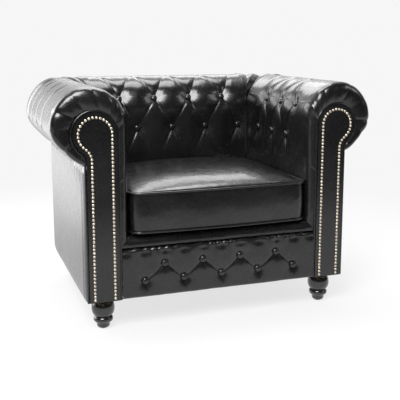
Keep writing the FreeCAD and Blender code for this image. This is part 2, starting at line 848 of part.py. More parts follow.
FRONT_FOOT = (inner_x + size_of("front_foot_x"), front + size_of("front_foot_y"))
REAR_FOOT = (inner_x + size_of("rear_foot_x"), outer_y - size_of("rear_foot_y"))
FEET = [(1, FRONT_FOOT), (-1, FRONT_FOOT), (1, REAR_FOOT), (-1, REAR_FOOT)]

# Shares of a turned foot's height, glide apart.
BULB_SHARE = 0.37
RING_SHARE = 0.12
WAIST_SHARE = 0.05
GLIDE_DRAFT = 0.8


def make_frame():
    """Seat frame: rails, corner blocks, rear posts, steel plates and the cloth underneath."""
    pieces = [plain_box(
        "front_rail",
        (-frame_x, stump_back, frame_bottom),
        (frame_x, rail_back, rail_top))]
    back_rail = new_body("back_rail")
    rail_front = frame_y - rail_thickness
    bend = size_of("underside_radius") - panel_thickness - fit_gap
    bend_z = chassis_height + size_of("underside_radius")
    along_x(back_rail, "back_rail_board", [
        (rail_front, bend_z - bend),
        (frame_y - bend, bend_z - bend, Arc(bend, left=True)),
        (frame_y, bend_z),
        (frame_y, rail_top),
        (rail_front, rail_top),
    ], -frame_x, frame_x)
    pieces.append(back_rail)
    side = plain_box(
        "side_rail_right",
        (frame_x - rail_thickness, rail_back, frame_bottom),
        (frame_x, rail_front, rail_top))
    post = plain_box(
        "rear_post_right",
        (frame_x - board_thickness * 2, rail_front - board_thickness, rail_top),
        (frame_x, frame_y, fold_z - board_thickness / 2))
    pieces += [side, mirrored("side_rail_left", side), post, mirrored("rear_post_left", post)]

    blocks = []
    leg = size_of("block_side")
    block_top = frame_bottom + size_of("block_height")
    hole = size_of("bolt_diameter") / 2 + fit_gap
    rail_inside = frame_x - rail_thickness
    for name, edge_y, inwards, foot in (
            ("front", rail_back, leg, FRONT_FOOT), ("rear", rail_front, -leg, REAR_FOOT)):
        block = new_body(f"{name}_corner_block_right")
        along_z(block, f"{name}_block_board", [
            (rail_inside, edge_y), (rail_inside - leg, edge_y), (rail_inside, edge_y + inwards)],
            frame_bottom, block_top)
        drill = new_sketch(block, f"{name}_block_hole", "XY_Plane", block_top)
        place_circle(drill, foot, hole)
        pocket(block, f"{name}_block_drilling", drill, size_of("block_height"))
        blocks += [block, mirrored(f"{name}_corner_block_left", block)]
    pieces.append(bundle("corner_blocks", blocks))

    cloth = new_body("dust_cover")
    cloth_x = frame_x - rail_thickness / 2
    cloth_thickness = size_of("cloth_thickness")
    along_z(cloth, "dust_cover_sheet", rectangle(
        -cloth_x, stump_back + rail_thickness / 2, cloth_x, rail_front),
        frame_bottom - cloth_thickness, frame_bottom)
    window = size_of("plate_size") / 2 + cloth_thickness
    for number, (side_of, foot) in enumerate(FEET):
        x = foot[0] * side_of
        cut_along_z(cloth, f"foot_window_{number}",
                    rectangle(x - window, foot[1] - window, x + window, foot[1] + window),
                    frame_bottom - cloth_thickness, frame_bottom)
    pieces.append(cloth)
    return pieces


def make_feet():
    """Turned front feet, tapered rear feet, and the plates, bolts, nuts and glides of each."""
    top = chassis_height
    glide = size_of("glide_height")
    bulb = size_of("foot_bulb_diameter") / 2
    ring = size_of("foot_ring_diameter") / 2
    waist = size_of("foot_waist_diameter") / 2
    ankle = size_of("foot_ankle_diameter") / 2
    toe = size_of("foot_toe_diameter") / 2
    bore = size_of("bolt_diameter") / 2 + fit_gap
    grip = size_of("bolt_grip")
    collar = size_of("foot_collar")
    drilled = grip + plate_thickness
    bulb_height = (top - glide) * BULB_SHARE
    ring_height = (top - glide) * RING_SHARE
    waist_height = (top - glide) * WAIST_SHARE
    bulb_low = top - collar - bulb_height
    ring_top = bulb_low - waist_height
    ring_low = ring_top - ring_height
    cheek = (bulb_height * bulb_height / 4 + (bulb - ankle) * (bulb - ankle)) / ((bulb - ankle) * 2)
    edge = (ring_height * ring_height / 4 + (ring - ankle) * (ring - ankle)) / ((ring - ankle) * 2)
    front_foot = new_body("front_foot_right")
    profile = outline(front_foot, "foot_profile", "XZ_Plane", [
        (bore, top),
        (bore, top - drilled),
        (0, top - drilled),
        (0, glide),
        (toe, glide),
        (ankle - collar, ring_low - collar * 2),
        (ankle, ring_low, Arc(edge, left=True)),
        (ankle, ring_top),
        (waist, ring_top),
        (waist, bulb_low),
        (ankle, bulb_low, Arc(cheek, left=True)),
        (ankle, top - collar),
        (ankle, top),
    ])
    turning = front_foot.newObject("PartDesign::Revolution", "foot_turning")
    turning.Profile = profile
    turning.ReferenceAxis = (profile, ["V_Axis"])
    turning.Angle = 360
    front_foot.setExpression(".Placement.Base.x", FRONT_FOOT[0].formula)
    front_foot.setExpression(".Placement.Base.y", FRONT_FOOT[1].formula)

    rear_foot = new_body("rear_foot_right")
    sections = []
    for name, height in (("toe", glide), ("top", top)):
        side = size_of(f"rear_foot_{name}") / 2
        sections.append(outline(
            rear_foot, f"rear_foot_{name}", "XY_Plane", rectangle(-side, -side, side, side), height))
    taper = rear_foot.newObject("PartDesign::AdditiveLoft", "rear_foot_taper")
    taper.Profile = sections[0]
    taper.Sections = [sections[1]]
    taper.Ruled = True
    drill = new_sketch(rear_foot, "rear_foot_hole", "XY_Plane", top)
    place_circle(drill, (as_size(0), as_size(0)), bore)
    pocket(rear_foot, "rear_foot_drilling", drill, drilled)
    rear_foot.setExpression(".Placement.Base.x", REAR_FOOT[0].formula)
    rear_foot.setExpression(".Placement.Base.y", REAR_FOOT[1].formula)

    plates = []
    bolts = []
    nuts = []
    glides = []
    up = Vector(0, 0, 1)
    half = size_of("plate_size").value / 2
    shank = size_of("bolt_diameter").value / 2
    nut_corner = size_of("nut_width").value / math.sqrt(3)
    nut_height = size_of("nut_height").value
    reach = size_of("glide_diameter").value / 2
    for side, foot in FEET:
        spot = Vector(foot[0].value * side, foot[1].value, 0)
        under = spot + up * top.value
        plate = Part.makeBox(half * 2, half * 2, plate_thickness.value, under - Vector(half, half, 0))
        plates.append(plate.cut(Part.makeCylinder(bore.value, plate_thickness.value, under)))
        bolts.append(Part.makeCylinder(shank, size_of("bolt_length").value, under - up * grip.value))
        base = spot + up * (frame_bottom + size_of("block_height")).value
        corners = []
        for number in range(7):
            turn = math.radians(60 * number)
            corners.append(base + Vector(nut_corner * math.cos(turn), nut_corner * math.sin(turn), 0))
        nut = Part.Face(Part.makePolygon(corners)).extrude(up * nut_height)
        nuts.append(nut.cut(Part.makeCylinder(bore.value, nut_height, base)))
        glides.append(Part.makeCone(reach * GLIDE_DRAFT, reach, glide.value, spot))
    return [
        front_foot, mirrored("front_foot_left", front_foot), rear_foot, mirrored("rear_foot_left", rear_foot),
        group("foot_plates", plates), group("foot_bolts", bolts), group("foot_nuts", nuts),
        group("foot_glides", glides),
    ]


SPRING_SPREAD = 0.75
CLIP_SHARE = 0.3


def serpentine(x, start, end, height):
    """One zigzag spring: straight runs across, joined by half circles at alternate sides."""
    loops = round(size_of("spring_loops").value)
    radius = (end - start) / (2 * (loops + 1))
    reach = size_of("spring_width").value / 2 - radius
    edges = [Part.LineSegment(Vector(x, start, height), Vector(x + reach, start, height)).toShape()]
    side = 1
    y = start
    for number in range(loops + 1):
        bend = Vector(x + side * (reach + radius), y + radius, height)
        first = Vector(x + side * reach, y, height)
        last = Vector(x + side * reach, y + 2 * radius, height)
        edges.append(Part.Arc(first, bend, last).toShape())
        y += 2 * radius
        across = -side * reach if number < loops else 0
        edges.append(Part.LineSegment(last, Vector(x + across, y, height)).toShape())
        side = -side
    wire = Part.Wire(edges)
    section = Part.Wire([Part.makeCircle(spring_wire.value / 2, Vector(x, start, height), Vector(1, 0, 0))])
    return wire.makePipeShell([section], True, False)


def make_seat():
    """Springs, clips, deck, front edge, and the tufted border with its buttons."""
    start = (stump_back + rail_back).value / 2
    end = frame_y.value - rail_thickness.value / 2
    height = spring_base.value + fit_gap.value + spring_wire.value / 2
    count = round(size_of("spring_count").value)
    pitch = seat_width.value * SPRING_SPREAD / (count - 1)
    springs = []
    clips = []
    thick = clip_thickness.value
    wide = size_of("clip_width").value
    deep = rail_thickness.value * CLIP_SHARE
    tall = (deck_base - fit_gap - rail_top).value
    for number in range(count):
        x = (number - (count - 1) / 2) * pitch
        springs.append(serpentine(x, start, end, height))
        for y, facing in ((start, -1), (end, 1)):
            corner = Vector(x - wide / 2, y - deep, rail_top.value)
            clip = Part.makeBox(wide, deep * 2, tall, corner)
            slot = Part.makeBox(wide, deep * 2, tall - 2 * thick, corner + Vector(0, -facing * thick, thick))
            clips.append(clip.cut(slot))
    deck_top = cushion_base - fit_gap
    cloth_top = deck_base + size_of("cloth_thickness")
    pieces = [group("seat_springs", springs), group("spring_clips", clips)]
    pieces.append(plain_box(
        "deck_cloth",
        (-inner_x + fit_gap, lip_back + fit_gap, deck_base),
        (inner_x - fit_gap, inner_y - fit_gap, cloth_top)))
    pieces.append(plain_box(
        "deck_pad",
        (-inner_x + fit_gap, lip_back + fit_gap, cloth_top),
        (inner_x - fit_gap, inner_y - fit_gap, deck_top)))

    lip_side = prism("lip_side", "across_x", [
        (facing_back, deck_base),
        (lip_back, deck_base),
        (lip_back, lip_top),
        (band_back, lip_top, Arc(rounding_depth, left=True)),
        (facing_back, lip_top - rounding_depth),
    ], -facing_edge, facing_edge)
    slack = fit_gap * 2
    lip_front = prism("lip_front", "across_y", [
        (-facing_edge + slack, deck_base), (facing_edge - slack, deck_base),
        (inner_x - slack, lip_top), (-inner_x + slack, lip_top)], facing_back, lip_back)
    pieces.append(common("seat_lip", lip_side, lip_front))

    rounding = size_of("apron_rounding")
    apron_x = facing_edge - welt_room * 2
    apron_top = deck_base - fit_gap * 2
    block = prism("apron_block", "across_x", [
        (front + rounding, facing_bottom),
        (stump_back - fit_gap, facing_bottom),
        (stump_back - fit_gap, apron_top),
        (front + rounding, apron_top, Arc(rounding, left=True)),
        (front, apron_top - rounding),
        (front, facing_bottom + rounding, Arc(rounding, left=True)),
    ], -apron_x, apron_x)
    depth = size_of("apron_button_depth").value
    pieces.append(cut("apron_pad", block, button_pits("apron_pits", apron_button_places(), depth)))
    pieces.append(button_group("apron_buttons", apron_button_places(), depth))
    return pieces


def cushion_plan(grow):
    """Plan of the cushion, grown by an offset: bowed front, rounded corners."""
    half = inner_x - size_of("cushion_gap")
    bow = size_of("cushion_bow")
    corner = size_of("cushion_corner")
    bow_radius = (half * half + bow * bow) / (bow * 2)
    bow_y = cushion_front + bow_radius
    corner_at = half - corner
    inner = bow_radius - corner
    drop = root(inner * inner - corner_at * corner_at)
    share = (bow_radius + grow) / inner
    tangent = (corner_at * share, bow_y - drop * share)
    sweep = Arc(bow_radius + grow, left=True)
    bend = Arc(corner + grow, left=True)
    side = half + grow
    back = cushion_back + grow
    return [
        (-tangent[0], tangent[1], sweep),
        (tangent[0], tangent[1], bend),
        (side, bow_y - drop),
        (side, cushion_back - corner, bend),
        (corner_at, back),
        (-corner_at, back, bend),
        (-side, cushion_back - corner),
        (-side, bow_y - drop, bend),
    ]


def crowned_block(label, inset):
    """The cushion's form, drawn in by an inset: plan, side and front outlines in common."""
    base = cushion_base + inset
    shoulder = cushion_base + size_of("cushion_boxing") - inset
    crown = size_of("cushion_crown")
    half = inner_x - size_of("cushion_gap") - inset
    first = cushion_front + inset
    last = cushion_back - inset
    run = (last - first) / 2
    side_arc = Arc((run * run + crown * crown) / (crown * 2), left=True)
    front_arc = Arc((half * half + crown * crown) / (crown * 2), left=True)
    plan = prism(f"{label}_plan", "across_z", cushion_plan(-inset), base, shoulder + crown)
    side = prism(f"{label}_side", "across_x", [
        (first, base), (last, base), (last, shoulder, side_arc), (first, shoulder)], -half, half)
    face = prism(f"{label}_face", "across_y", [
        (-half, base), (half, base), (half, shoulder, front_arc), (-half, shoulder)], first, last)
    return common(label, common(f"{label}_profile", plan, side), face)


def cushion_welt(label, height):
    """Piping sewn round the cushion."""
    welt = new_body(label)
    path = outline(welt, f"{label}_path", "XY_Plane", cushion_plan(welt_room), height)
    ring = new_sketch(welt, f"{label}_ring", "YZ_Plane", as_size(0))
    place_circle(ring, (cushion_back + welt_room, height), welt_radius)
    pipe = welt.newObject("PartDesign::AdditivePipe", f"{label}_cord")
    pipe.Profile = ring
    pipe.Spine = path
    return welt


def make_cushion():
    """The loose seat cushion: leather case, foam, two rows of piping, and its zip."""
    thick = size_of("case_thickness")
    boxing = size_of("cushion_boxing")
    case = cut("cushion_case", crowned_block("cushion_outside", as_size(0)),
               crowned_block("cushion_inside", thick))
    foam = crowned_block("cushion_foam", thick + fit_gap)
    low_welt = cushion_welt("cushion_welt_bottom", cushion_base + welt_room)
    top_welt = cushion_welt("cushion_welt_top", cushion_base + boxing)

    middle = cushion_base + size_of("zip_height")
    tape = size_of("zip_width") / 2
    teeth = size_of("teeth_width") / 2
    half = size_of("zip_length") / 2
    face = cushion_back + size_of("tape_thickness")
    ridge = face + size_of("teeth_height")
    fastener = new_body("cushion_zip")
    along_x(fastener, "zip_strip", [
        (cushion_back, middle - tape), (face, middle - tape), (face, middle - teeth), (ridge, middle - teeth),
        (ridge, middle + teeth), (face, middle + teeth), (face, middle + tape), (cushion_back, middle + tape),
    ], -half, half)
    slider = new_body("zip_slider")
    wall = size_of("slider_wall")
    inside = teeth + fit_gap
    outside = inside + wall * 2
    start = wall - half
    along_x(slider, "slider_body", [
        (face + fit_gap, middle - outside), (face + fit_gap, middle - inside),
        (ridge + fit_gap, middle - inside), (ridge + fit_gap, middle + inside),
        (face + fit_gap, middle + inside), (face + fit_gap, middle + outside),
        (ridge + wall, middle + outside), (ridge + wall, middle - outside),
    ], start, start + size_of("slider_length"))
    return [case, foam, low_welt, top_welt, fastener, slider]


right_arm = make_arm()
left_arm = [mirrored(piece.Label.replace("_right", "_left"), piece) for piece in right_arm]
parts = right_arm + left_arm + make_back() + make_frame() + make_feet() + make_seat() + make_cushion()
doc.recompute()

failed = [item.Name for item in doc.Objects if "Invalid" in item.State or "Error" in item.State]
if failed:
    raise RuntimeError(f"these did not build: {failed}")
for piece in parts:
    if piece.Shape.isNull() or not piece.Shape.isValid():
        raise RuntimeError(f"{piece.Label} has no sound shape")

os.makedirs("parts", exist_ok=True)
for piece in parts:
    piece.Shape.exportStep(f"parts/{piece.Label}.step")
    print(f"{piece.Label}: {len(piece.Shape.Solids)} solids, {piece.Shape.Volume / 1000:.0f} cm3")
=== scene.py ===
"""Chesterfield armchair: tufted leather, nail trim, loose cushion and a studio round the frame."""

import math

import bmesh
import bpy
import numpy as np
from bpy.props import FloatProperty, FloatVectorProperty, PointerProperty
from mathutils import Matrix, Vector, noise

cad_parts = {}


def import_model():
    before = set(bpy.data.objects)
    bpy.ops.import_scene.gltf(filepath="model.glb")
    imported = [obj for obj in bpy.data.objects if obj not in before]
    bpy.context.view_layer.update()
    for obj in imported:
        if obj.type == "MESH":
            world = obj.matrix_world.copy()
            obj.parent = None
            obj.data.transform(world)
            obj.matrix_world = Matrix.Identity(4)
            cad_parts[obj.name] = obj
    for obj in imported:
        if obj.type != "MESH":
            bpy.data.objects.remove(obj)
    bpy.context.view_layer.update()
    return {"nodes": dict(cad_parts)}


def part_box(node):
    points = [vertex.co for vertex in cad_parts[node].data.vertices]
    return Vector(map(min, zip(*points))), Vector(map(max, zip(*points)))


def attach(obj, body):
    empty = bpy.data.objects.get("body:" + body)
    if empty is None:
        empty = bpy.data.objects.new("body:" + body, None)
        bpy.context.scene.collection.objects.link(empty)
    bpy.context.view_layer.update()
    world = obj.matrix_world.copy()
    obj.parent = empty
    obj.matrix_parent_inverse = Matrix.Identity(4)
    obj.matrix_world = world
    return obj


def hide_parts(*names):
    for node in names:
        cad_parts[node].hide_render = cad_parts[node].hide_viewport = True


bl_info = {
    "name": "Chesterfield Armchair",
    "version": (1, 0, 0),
    "blender": (4, 5, 0),
    "location": "3D View > Sidebar > Chesterfield",
    "description": "Dresses a chesterfield armchair in tufted leather round its packed frame",
    "category": "Add Mesh",
}

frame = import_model()


def node_box(node):
    """Lowest and highest corner of a CAD node as two arrays, in metres."""
    low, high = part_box(node)
    return np.array(low), np.array(high)


def a_length(name, description, default):
    """A size in metres that a user may change."""
    return FloatProperty(name=name, description=description, default=default, unit="LENGTH")


def a_colour(name, description, default):
    """A colour that a user may change."""
    return FloatVectorProperty(
        name=name, description=description, default=default, subtype="COLOR", size=3)


class ChesterfieldSizes(bpy.types.PropertyGroup):
    """Sizes of the upholstery."""

    inner_x: a_length("Inner arm", "Middle of the chair to the inside of an arm", 0.28)
    inner_y: a_length("Inner back", "Middle of the chair to the inside of the back", 0.14)
    roll_radius: a_length("Roll radius", "Outside radius of the padded rolls", 0.108)
    roll_height: a_length("Roll height", "Floor to the centre of the rolls", 0.592)
    panel_offset: a_length("Fold offset", "Inside face to the fold under the roll", 0.119)
    deck_height: a_length("Deck height", "Floor to the seat deck", 0.2419)
    lip_top: a_length("Lip height", "Floor to the top of the seat edge", 0.278)
    scroll_radius: a_length("Scroll radius", "Radius of the facing's scroll", 0.0625)
    scroll_offset: a_length("Scroll offset", "Inside face to the scroll's centre", 0.0935)
    scroll_height: a_length("Scroll height", "Floor to the scroll's centre", 0.573)
    scroll_neck: a_length("Scroll neck", "Hollow radius under the scroll", 0.028)
    facing_y: a_length("Facing plane", "Front plane of the arm facings", -0.344)
    band_front: a_length("Band front", "Where the rounded arm front starts", -0.336)
    band_depth: a_length("Band depth", "Depth of the rounded arm front", 0.033)
    corner_reach: a_length("Corner reach", "Inside corner to the axis of the rounded corner", 0.058)
    button_radius: a_length("Button radius", "Radius of the covered buttons", 0.0105)
    button_depth: a_length("Button depth", "How deep the buttons are drawn into the rolls", 0.016)
    crease_depth: a_length("Crease depth", "Depth of the folds between the buttons", 0.008)
    scroll_edge: a_length("Scroll edge", "Depth of the arm front round the scroll", 0.014)
    lean: a_length("Lean", "How much the roll's lower outside is drawn in", 0.011)
    crown: a_length("Crown", "Rise of the leather between the pleats over the rolls", 0.005)
    row_upper: a_length("Upper row", "Floor to the buttons on the rolls", 0.633)
    row_lower: a_length("Lower row", "Floor to the second row of buttons", 0.527)
    arm_pitch: a_length("Arm pitch", "Spacing of the buttons along the arms", 0.11)
    arm_first: a_length("First arm button", "Place of the arm's first button", -0.214)
    back_pitch: a_length("Back pitch", "Spacing of the buttons along the back", 0.125)
    border_pitch: a_length("Border pitch", "Spacing of the buttons in each row of the border", 0.118)
    border_upper: a_length("Border upper row", "Floor to the border's upper buttons", 0.19)
    border_lower: a_length("Border lower row", "Floor to the border's lower buttons", 0.142)
    border_button_depth: a_length(
        "Border button depth", "How deep the border's buttons are drawn in", 0.009)
    boxing: a_length("Boxing", "Height of the cushion's side walls", 0.117)
    grid: a_length("Grid", "Spacing of the leather's mesh", 0.003)


class ChesterfieldColours(bpy.types.PropertyGroup):
    """Colours of the finishes."""

    leather: a_colour("Leather", "Black coated leather", (0.0042, 0.0042, 0.0047))
    nail: a_colour("Nails", "Pale brass of the nail heads", (0.86, 0.78, 0.63))
    foot: a_colour("Feet", "Black lacquer of the feet", (0.012, 0.011, 0.011))
    studio: a_colour("Studio", "Pale floor and background", (0.922, 0.922, 0.922))


class Value:
    """A shader socket that takes part in Python expressions."""

    def __init__(self, maker, socket):
        self.maker = maker
        self.socket = socket

    def combine(self, operation, first, second):
        return self.maker.node("ShaderNodeMath", {"operation": operation}, {0: first, 1: second})

    def __add__(self, other):
        return self.combine("ADD", self, other)

    __radd__ = __add__

    def __sub__(self, other):
        return self.combine("SUBTRACT", self, other)

    def __rsub__(self, other):
        return self.combine("SUBTRACT", other, self)

    def __mul__(self, other):
        return self.combine("MULTIPLY", self, other)

    __rmul__ = __mul__

    def clamped(self):
        return self.maker.node("ShaderNodeClamp", {}, {"Value": self})

    def ramp(self, low, high):
        """0 at low, 1 at high, smooth in between."""
        inputs = {"Value": self, "From Min": low, "From Max": high}
        return self.maker.node("ShaderNodeMapRange", {"interpolation_type": "SMOOTHSTEP"}, inputs)


class Finish:
    """A material or world whose nodes are made one by one."""

    def __init__(self, owner):
        owner.use_nodes = True
        self.owner = owner
        self.tree = owner.node_tree
        self.tree.nodes.clear()

    def made(self, kind, settings, inputs):
        """Adds a node with its settings, then the values or links of its sockets."""
        node = self.tree.nodes.new(kind)
        for name, value in settings.items():
            setattr(node, name, value)
        for name, value in inputs.items():
            target = node.inputs[name]
            if isinstance(value, Value):
                self.tree.links.new(value.socket, target)
            elif hasattr(value, "__len__") and len(value) == 3 and target.type == "RGBA":
                target.default_value = (*value, 1.0)
            else:
                target.default_value = value
        return node

    def node(self, kind, settings, inputs, output=0):
        """The output of a new node."""
        return Value(self, self.made(kind, settings, inputs).outputs[output])

    def mix(self, factor, first, second):
        """Two colours mixed by a factor."""
        node = self.made("ShaderNodeMix", {"data_type": "RGBA"}, {0: factor})
        for index, value in ((6, first), (7, second)):
            if isinstance(value, Value):
                self.tree.links.new(value.socket, node.inputs[index])
            else:
                node.inputs[index].default_value = (*value, 1.0)
        return Value(self, node.outputs[2])

    def noise(self, place, scale, detail=2.0, distortion=0.0):
        inputs = {"Vector": place, "Scale": scale, "Detail": detail, "Distortion": distortion}
        return self.node("ShaderNodeTexNoise", {}, inputs)

    def place(self, output="Object"):
        return self.node("ShaderNodeTexCoord", {}, {}, output)

    def axis(self, vector, index):
        """One coordinate of a vector."""
        return self.node("ShaderNodeSeparateXYZ", {}, {"Vector": vector}, index)

    def bump(self, height, strength, distance):
        inputs = {"Height": height, "Strength": strength, "Distance": distance}
        return self.node("ShaderNodeBump", {}, inputs)

    def glow(self, colour, strength=1.0):
        return self.node("ShaderNodeEmission", {}, {"Color": colour, "Strength": strength})

    def blend(self, factor, first, second):
        """Two shaders mixed by a factor."""
        return self.node("ShaderNodeMixShader", {}, {0: factor, 1: first, 2: second})

    def finished(self, surface):
        """Links the surface to the output and returns the material or world."""
        kind = "World" if isinstance(self.owner, bpy.types.World) else "Material"
        self.made(f"ShaderNodeOutput{kind}", {}, {"Surface": surface})
        return self.owner


def leather(name, colour, roughness=0.27, grain=0.2, creases=0.35):
    """Coated leather: fine pebbled grain, hairline creases and a glossy top coat."""
    finish = Finish(bpy.data.materials.new(name))
    place = finish.place()
    cells = {"Vector": place, "Scale": 620.0}
    pebbles = finish.node("ShaderNodeTexVoronoi", {"feature": "DISTANCE_TO_EDGE"}, cells)
    soft = finish.noise(place, 34.0, 4.0, 0.6)
    hairline = finish.noise(place, 95.0, 3.0, 1.8)
    worn = finish.noise(place, 7.0, 2.0)
    ridge = ((hairline - 0.5) * (hairline - 0.5) * 60.0).clamped()
    pebbled = (pebbles * 6.0).clamped() * (grain * 0.12)
    bump = finish.bump(pebbled + ridge * (creases * 0.3) + soft * (creases * 1.2), 0.35, 0.0012)
    tint = finish.mix(worn.ramp(0.35, 0.7), colour, tuple(channel * 1.8 for channel in colour))
    gloss = roughness + (soft - 0.5) * 0.12 + (1.0 - ridge) * 0.03
    shader = finish.node("ShaderNodeBsdfPrincipled", {}, {
        "Base Color": tint, "Roughness": gloss, "Normal": bump, "IOR": 1.5,
        "Coat Weight": 0.35, "Coat Roughness": 0.12})
    return finish.finished(shader)


def coated(name, colour, roughness, metallic=0.0, scale=80.0, spread=0.08, depth=0.0003, coat=0.0):
    """Plain paint, lacquer, plastic or metal with slightly uneven gloss and tone."""
    finish = Finish(bpy.data.materials.new(name))
    place = finish.place()
    cloud = finish.noise(place, scale, 3.0)
    tint = finish.mix(cloud.ramp(0.3, 0.75), colour, tuple(channel * 0.72 for channel in colour))
    bump = finish.bump(cloud, 0.25, depth)
    shader = finish.node("ShaderNodeBsdfPrincipled", {}, {
        "Base Color": tint, "Roughness": roughness + (cloud - 0.5) * spread, "Metallic": metallic,
        "Normal": bump, "Coat Weight": coat, "Coat Roughness": 0.08})
    return finish.finished(shader)


def woody(name, light, dark, stretch=(40.0, 40.0, 4.0)):
    """Sawn timber with long grain."""
    finish = Finish(bpy.data.materials.new(name))
    place = finish.node("ShaderNodeMapping", {}, {"Vector": finish.place(), "Scale": stretch})
    rings = finish.noise(place, 2.2, 5.0, 1.2)
    bump = finish.bump(rings, 0.3, 0.0006)
    shader = finish.node("ShaderNodeBsdfPrincipled", {}, {
        "Base Color": finish.mix(rings.ramp(0.35, 0.65), light, dark), "Roughness": 0.6 + rings * 0.15,
        "Normal": bump})
    return finish.finished(shader)


def woven(name, colour, scale=900.0):
    """Thin black cloth with a plain weave."""
    finish = Finish(bpy.data.materials.new(name))
    place = finish.place()
    threads = {"Vector": place, "Scale": scale / 6.0}
    across, along = [
        finish.node("ShaderNodeTexWave", {"bands_direction": direction}, threads) for direction in "XY"]
    weave = across * along
    bump = finish.bump(weave, 0.4, 0.0004)
    shader = finish.node("ShaderNodeBsdfPrincipled", {}, {
        "Base Color": finish.mix(weave, colour, tuple(channel * 2.2 for channel in colour)),
        "Roughness": 0.85, "Normal": bump})
    return finish.finished(shader)


def make_finishes(colours):
    """Every material of the chair, by name."""
    black = tuple(colours.leather)
    return {
        "black_leather": leather("chair_leather", black),
        "panel_leather": leather("panel_leather", black, roughness=0.25, grain=0.1, creases=0.1),
        "facing_leather": leather("smooth_leather", black, roughness=0.24, grain=0.08, creases=0.12),
        "button_leather": leather("stretched_leather", black, roughness=0.33, creases=0.15),
        "nail_brass": coated("pale_brass", tuple(colours.nail), 0.3, metallic=1.0, scale=300.0),
        "black_wood": coated("black_lacquer", tuple(colours.foot), 0.2, coat=0.6, scale=60.0),
        "frame_timber": woody("sawn_timber", (0.55, 0.38, 0.21), (0.38, 0.24, 0.12)),
        "plywood": woody("birch_ply", (0.62, 0.47, 0.29), (0.5, 0.36, 0.2), (30.0, 30.0, 8.0)),
        "hardboard": coated("brown_hardboard", (0.2, 0.12, 0.07), 0.7, scale=400.0),
        "zinc_steel": coated("zinc_plated", (0.6, 0.61, 0.62), 0.35, metallic=1.0, scale=200.0),
        "spring_steel": coated("oiled_steel", (0.25, 0.26, 0.27), 0.4, metallic=1.0, scale=200.0),
        "glide_plastic": coated("glide_nylon", (0.03, 0.03, 0.03), 0.5),
        "black_cloth": woven("lining_cloth", (0.012, 0.012, 0.012)),
        "foam": coated("yellow_foam", (0.75, 0.71, 0.58), 0.9, scale=900.0, depth=0.001),
        "zip_tape": woven("zip_cloth", (0.01, 0.01, 0.01), 1500.0),
        "zip_metal": coated("zip_nickel", (0.45, 0.42, 0.36), 0.3, metallic=1.0, scale=300.0),
    }


FINISHES = {}


def finishes():
    """The materials, made when the first piece asks for them."""
    if not FINISHES:
        FINISHES.update(make_finishes(bpy.context.scene.chesterfield_colours))
    return FINISHES


def mesh_object(name, mesh, material, body="chair"):
    """Links a mesh as a smooth piece of the chair."""
    mesh.shade_smooth()
    mesh.materials.append(finishes()[material])
    piece = bpy.data.objects.new(name, mesh)
    bpy.context.scene.collection.objects.link(piece)
    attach(piece, body)
    return piece


def upholstered(name, points, normals, height, node, material="black_leather", body="chair",
                closed=False):
    """Leather raised over its plain form, in place of a CAD node."""
    points = points + normals * height[..., None]
    rows, columns = points.shape[:2]
    number = np.arange(rows * columns).reshape(rows, columns)
    if closed:
        number = np.concatenate([number, number[:, :1]], axis=1)
    corners = [number[:-1, :-1], number[:-1, 1:], number[1:, 1:], number[1:, :-1]]
    faces = np.stack(corners, axis=-1).reshape(-1, 4)
    if np.sum(surface_normals(points) * normals) < 0:
        faces = faces[:, ::-1]
    mesh = bpy.data.meshes.new(name)
    mesh.from_pydata(points.reshape(-1, 3).tolist(), [], faces.tolist())
    piece = mesh_object(name, mesh, material, body)
    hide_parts(node)


def sheet_points(x, y, z):
    """A grid of points from coordinates that may each be a row, a column or the whole grid."""
    return np.stack(np.broadcast_arrays(x, y, z), axis=-1)


def quarter(count):
    """Angles over a quarter turn."""
    return np.linspace(0.0, math.pi / 2, count)


def surface_normals(points):
    """Unit normals of a grid of points."""
    down = np.gradient(points, axis=0)
    across = np.gradient(points, axis=1)
    normal = np.cross(across, down)
    size = np.linalg.norm(normal, axis=-1, keepdims=True)
    return normal / np.maximum(size, 1e-9)


def normals_towards(points, direction):
    """Unit normals of a grid of points, on the side that a direction points to."""
    normals = surface_normals(points)
    return normals * np.sign(np.sum(normals * direction))


def smooth(low, high, value):
    """0 below low, 1 above high, smooth in between."""
    share = np.clip((value - low) / (high - low), 0.0, 1.0)
    return share * share * (3.0 - 2.0 * share)


def cloud(points, scale, seed):
    """Smooth noise from -1 to 1 at each point."""
    flat = points.reshape(-1, 3) * scale + seed * 17.3
    return np.array([noise.noise(Vector(place)) for place in flat]).reshape(points.shape[:-1])


def uneven(points, *layers):
    """Layers of noise in metres, each from its scale, its seed and its depth."""
    return sum(cloud(points, scale, seed) * depth for scale, seed, depth in layers)


FOLD_RADIUS = 0.004
TUCK_DEPTH = 0.006
TUCK_ROWS = 9
LEAN_SPAN = math.radians(88)


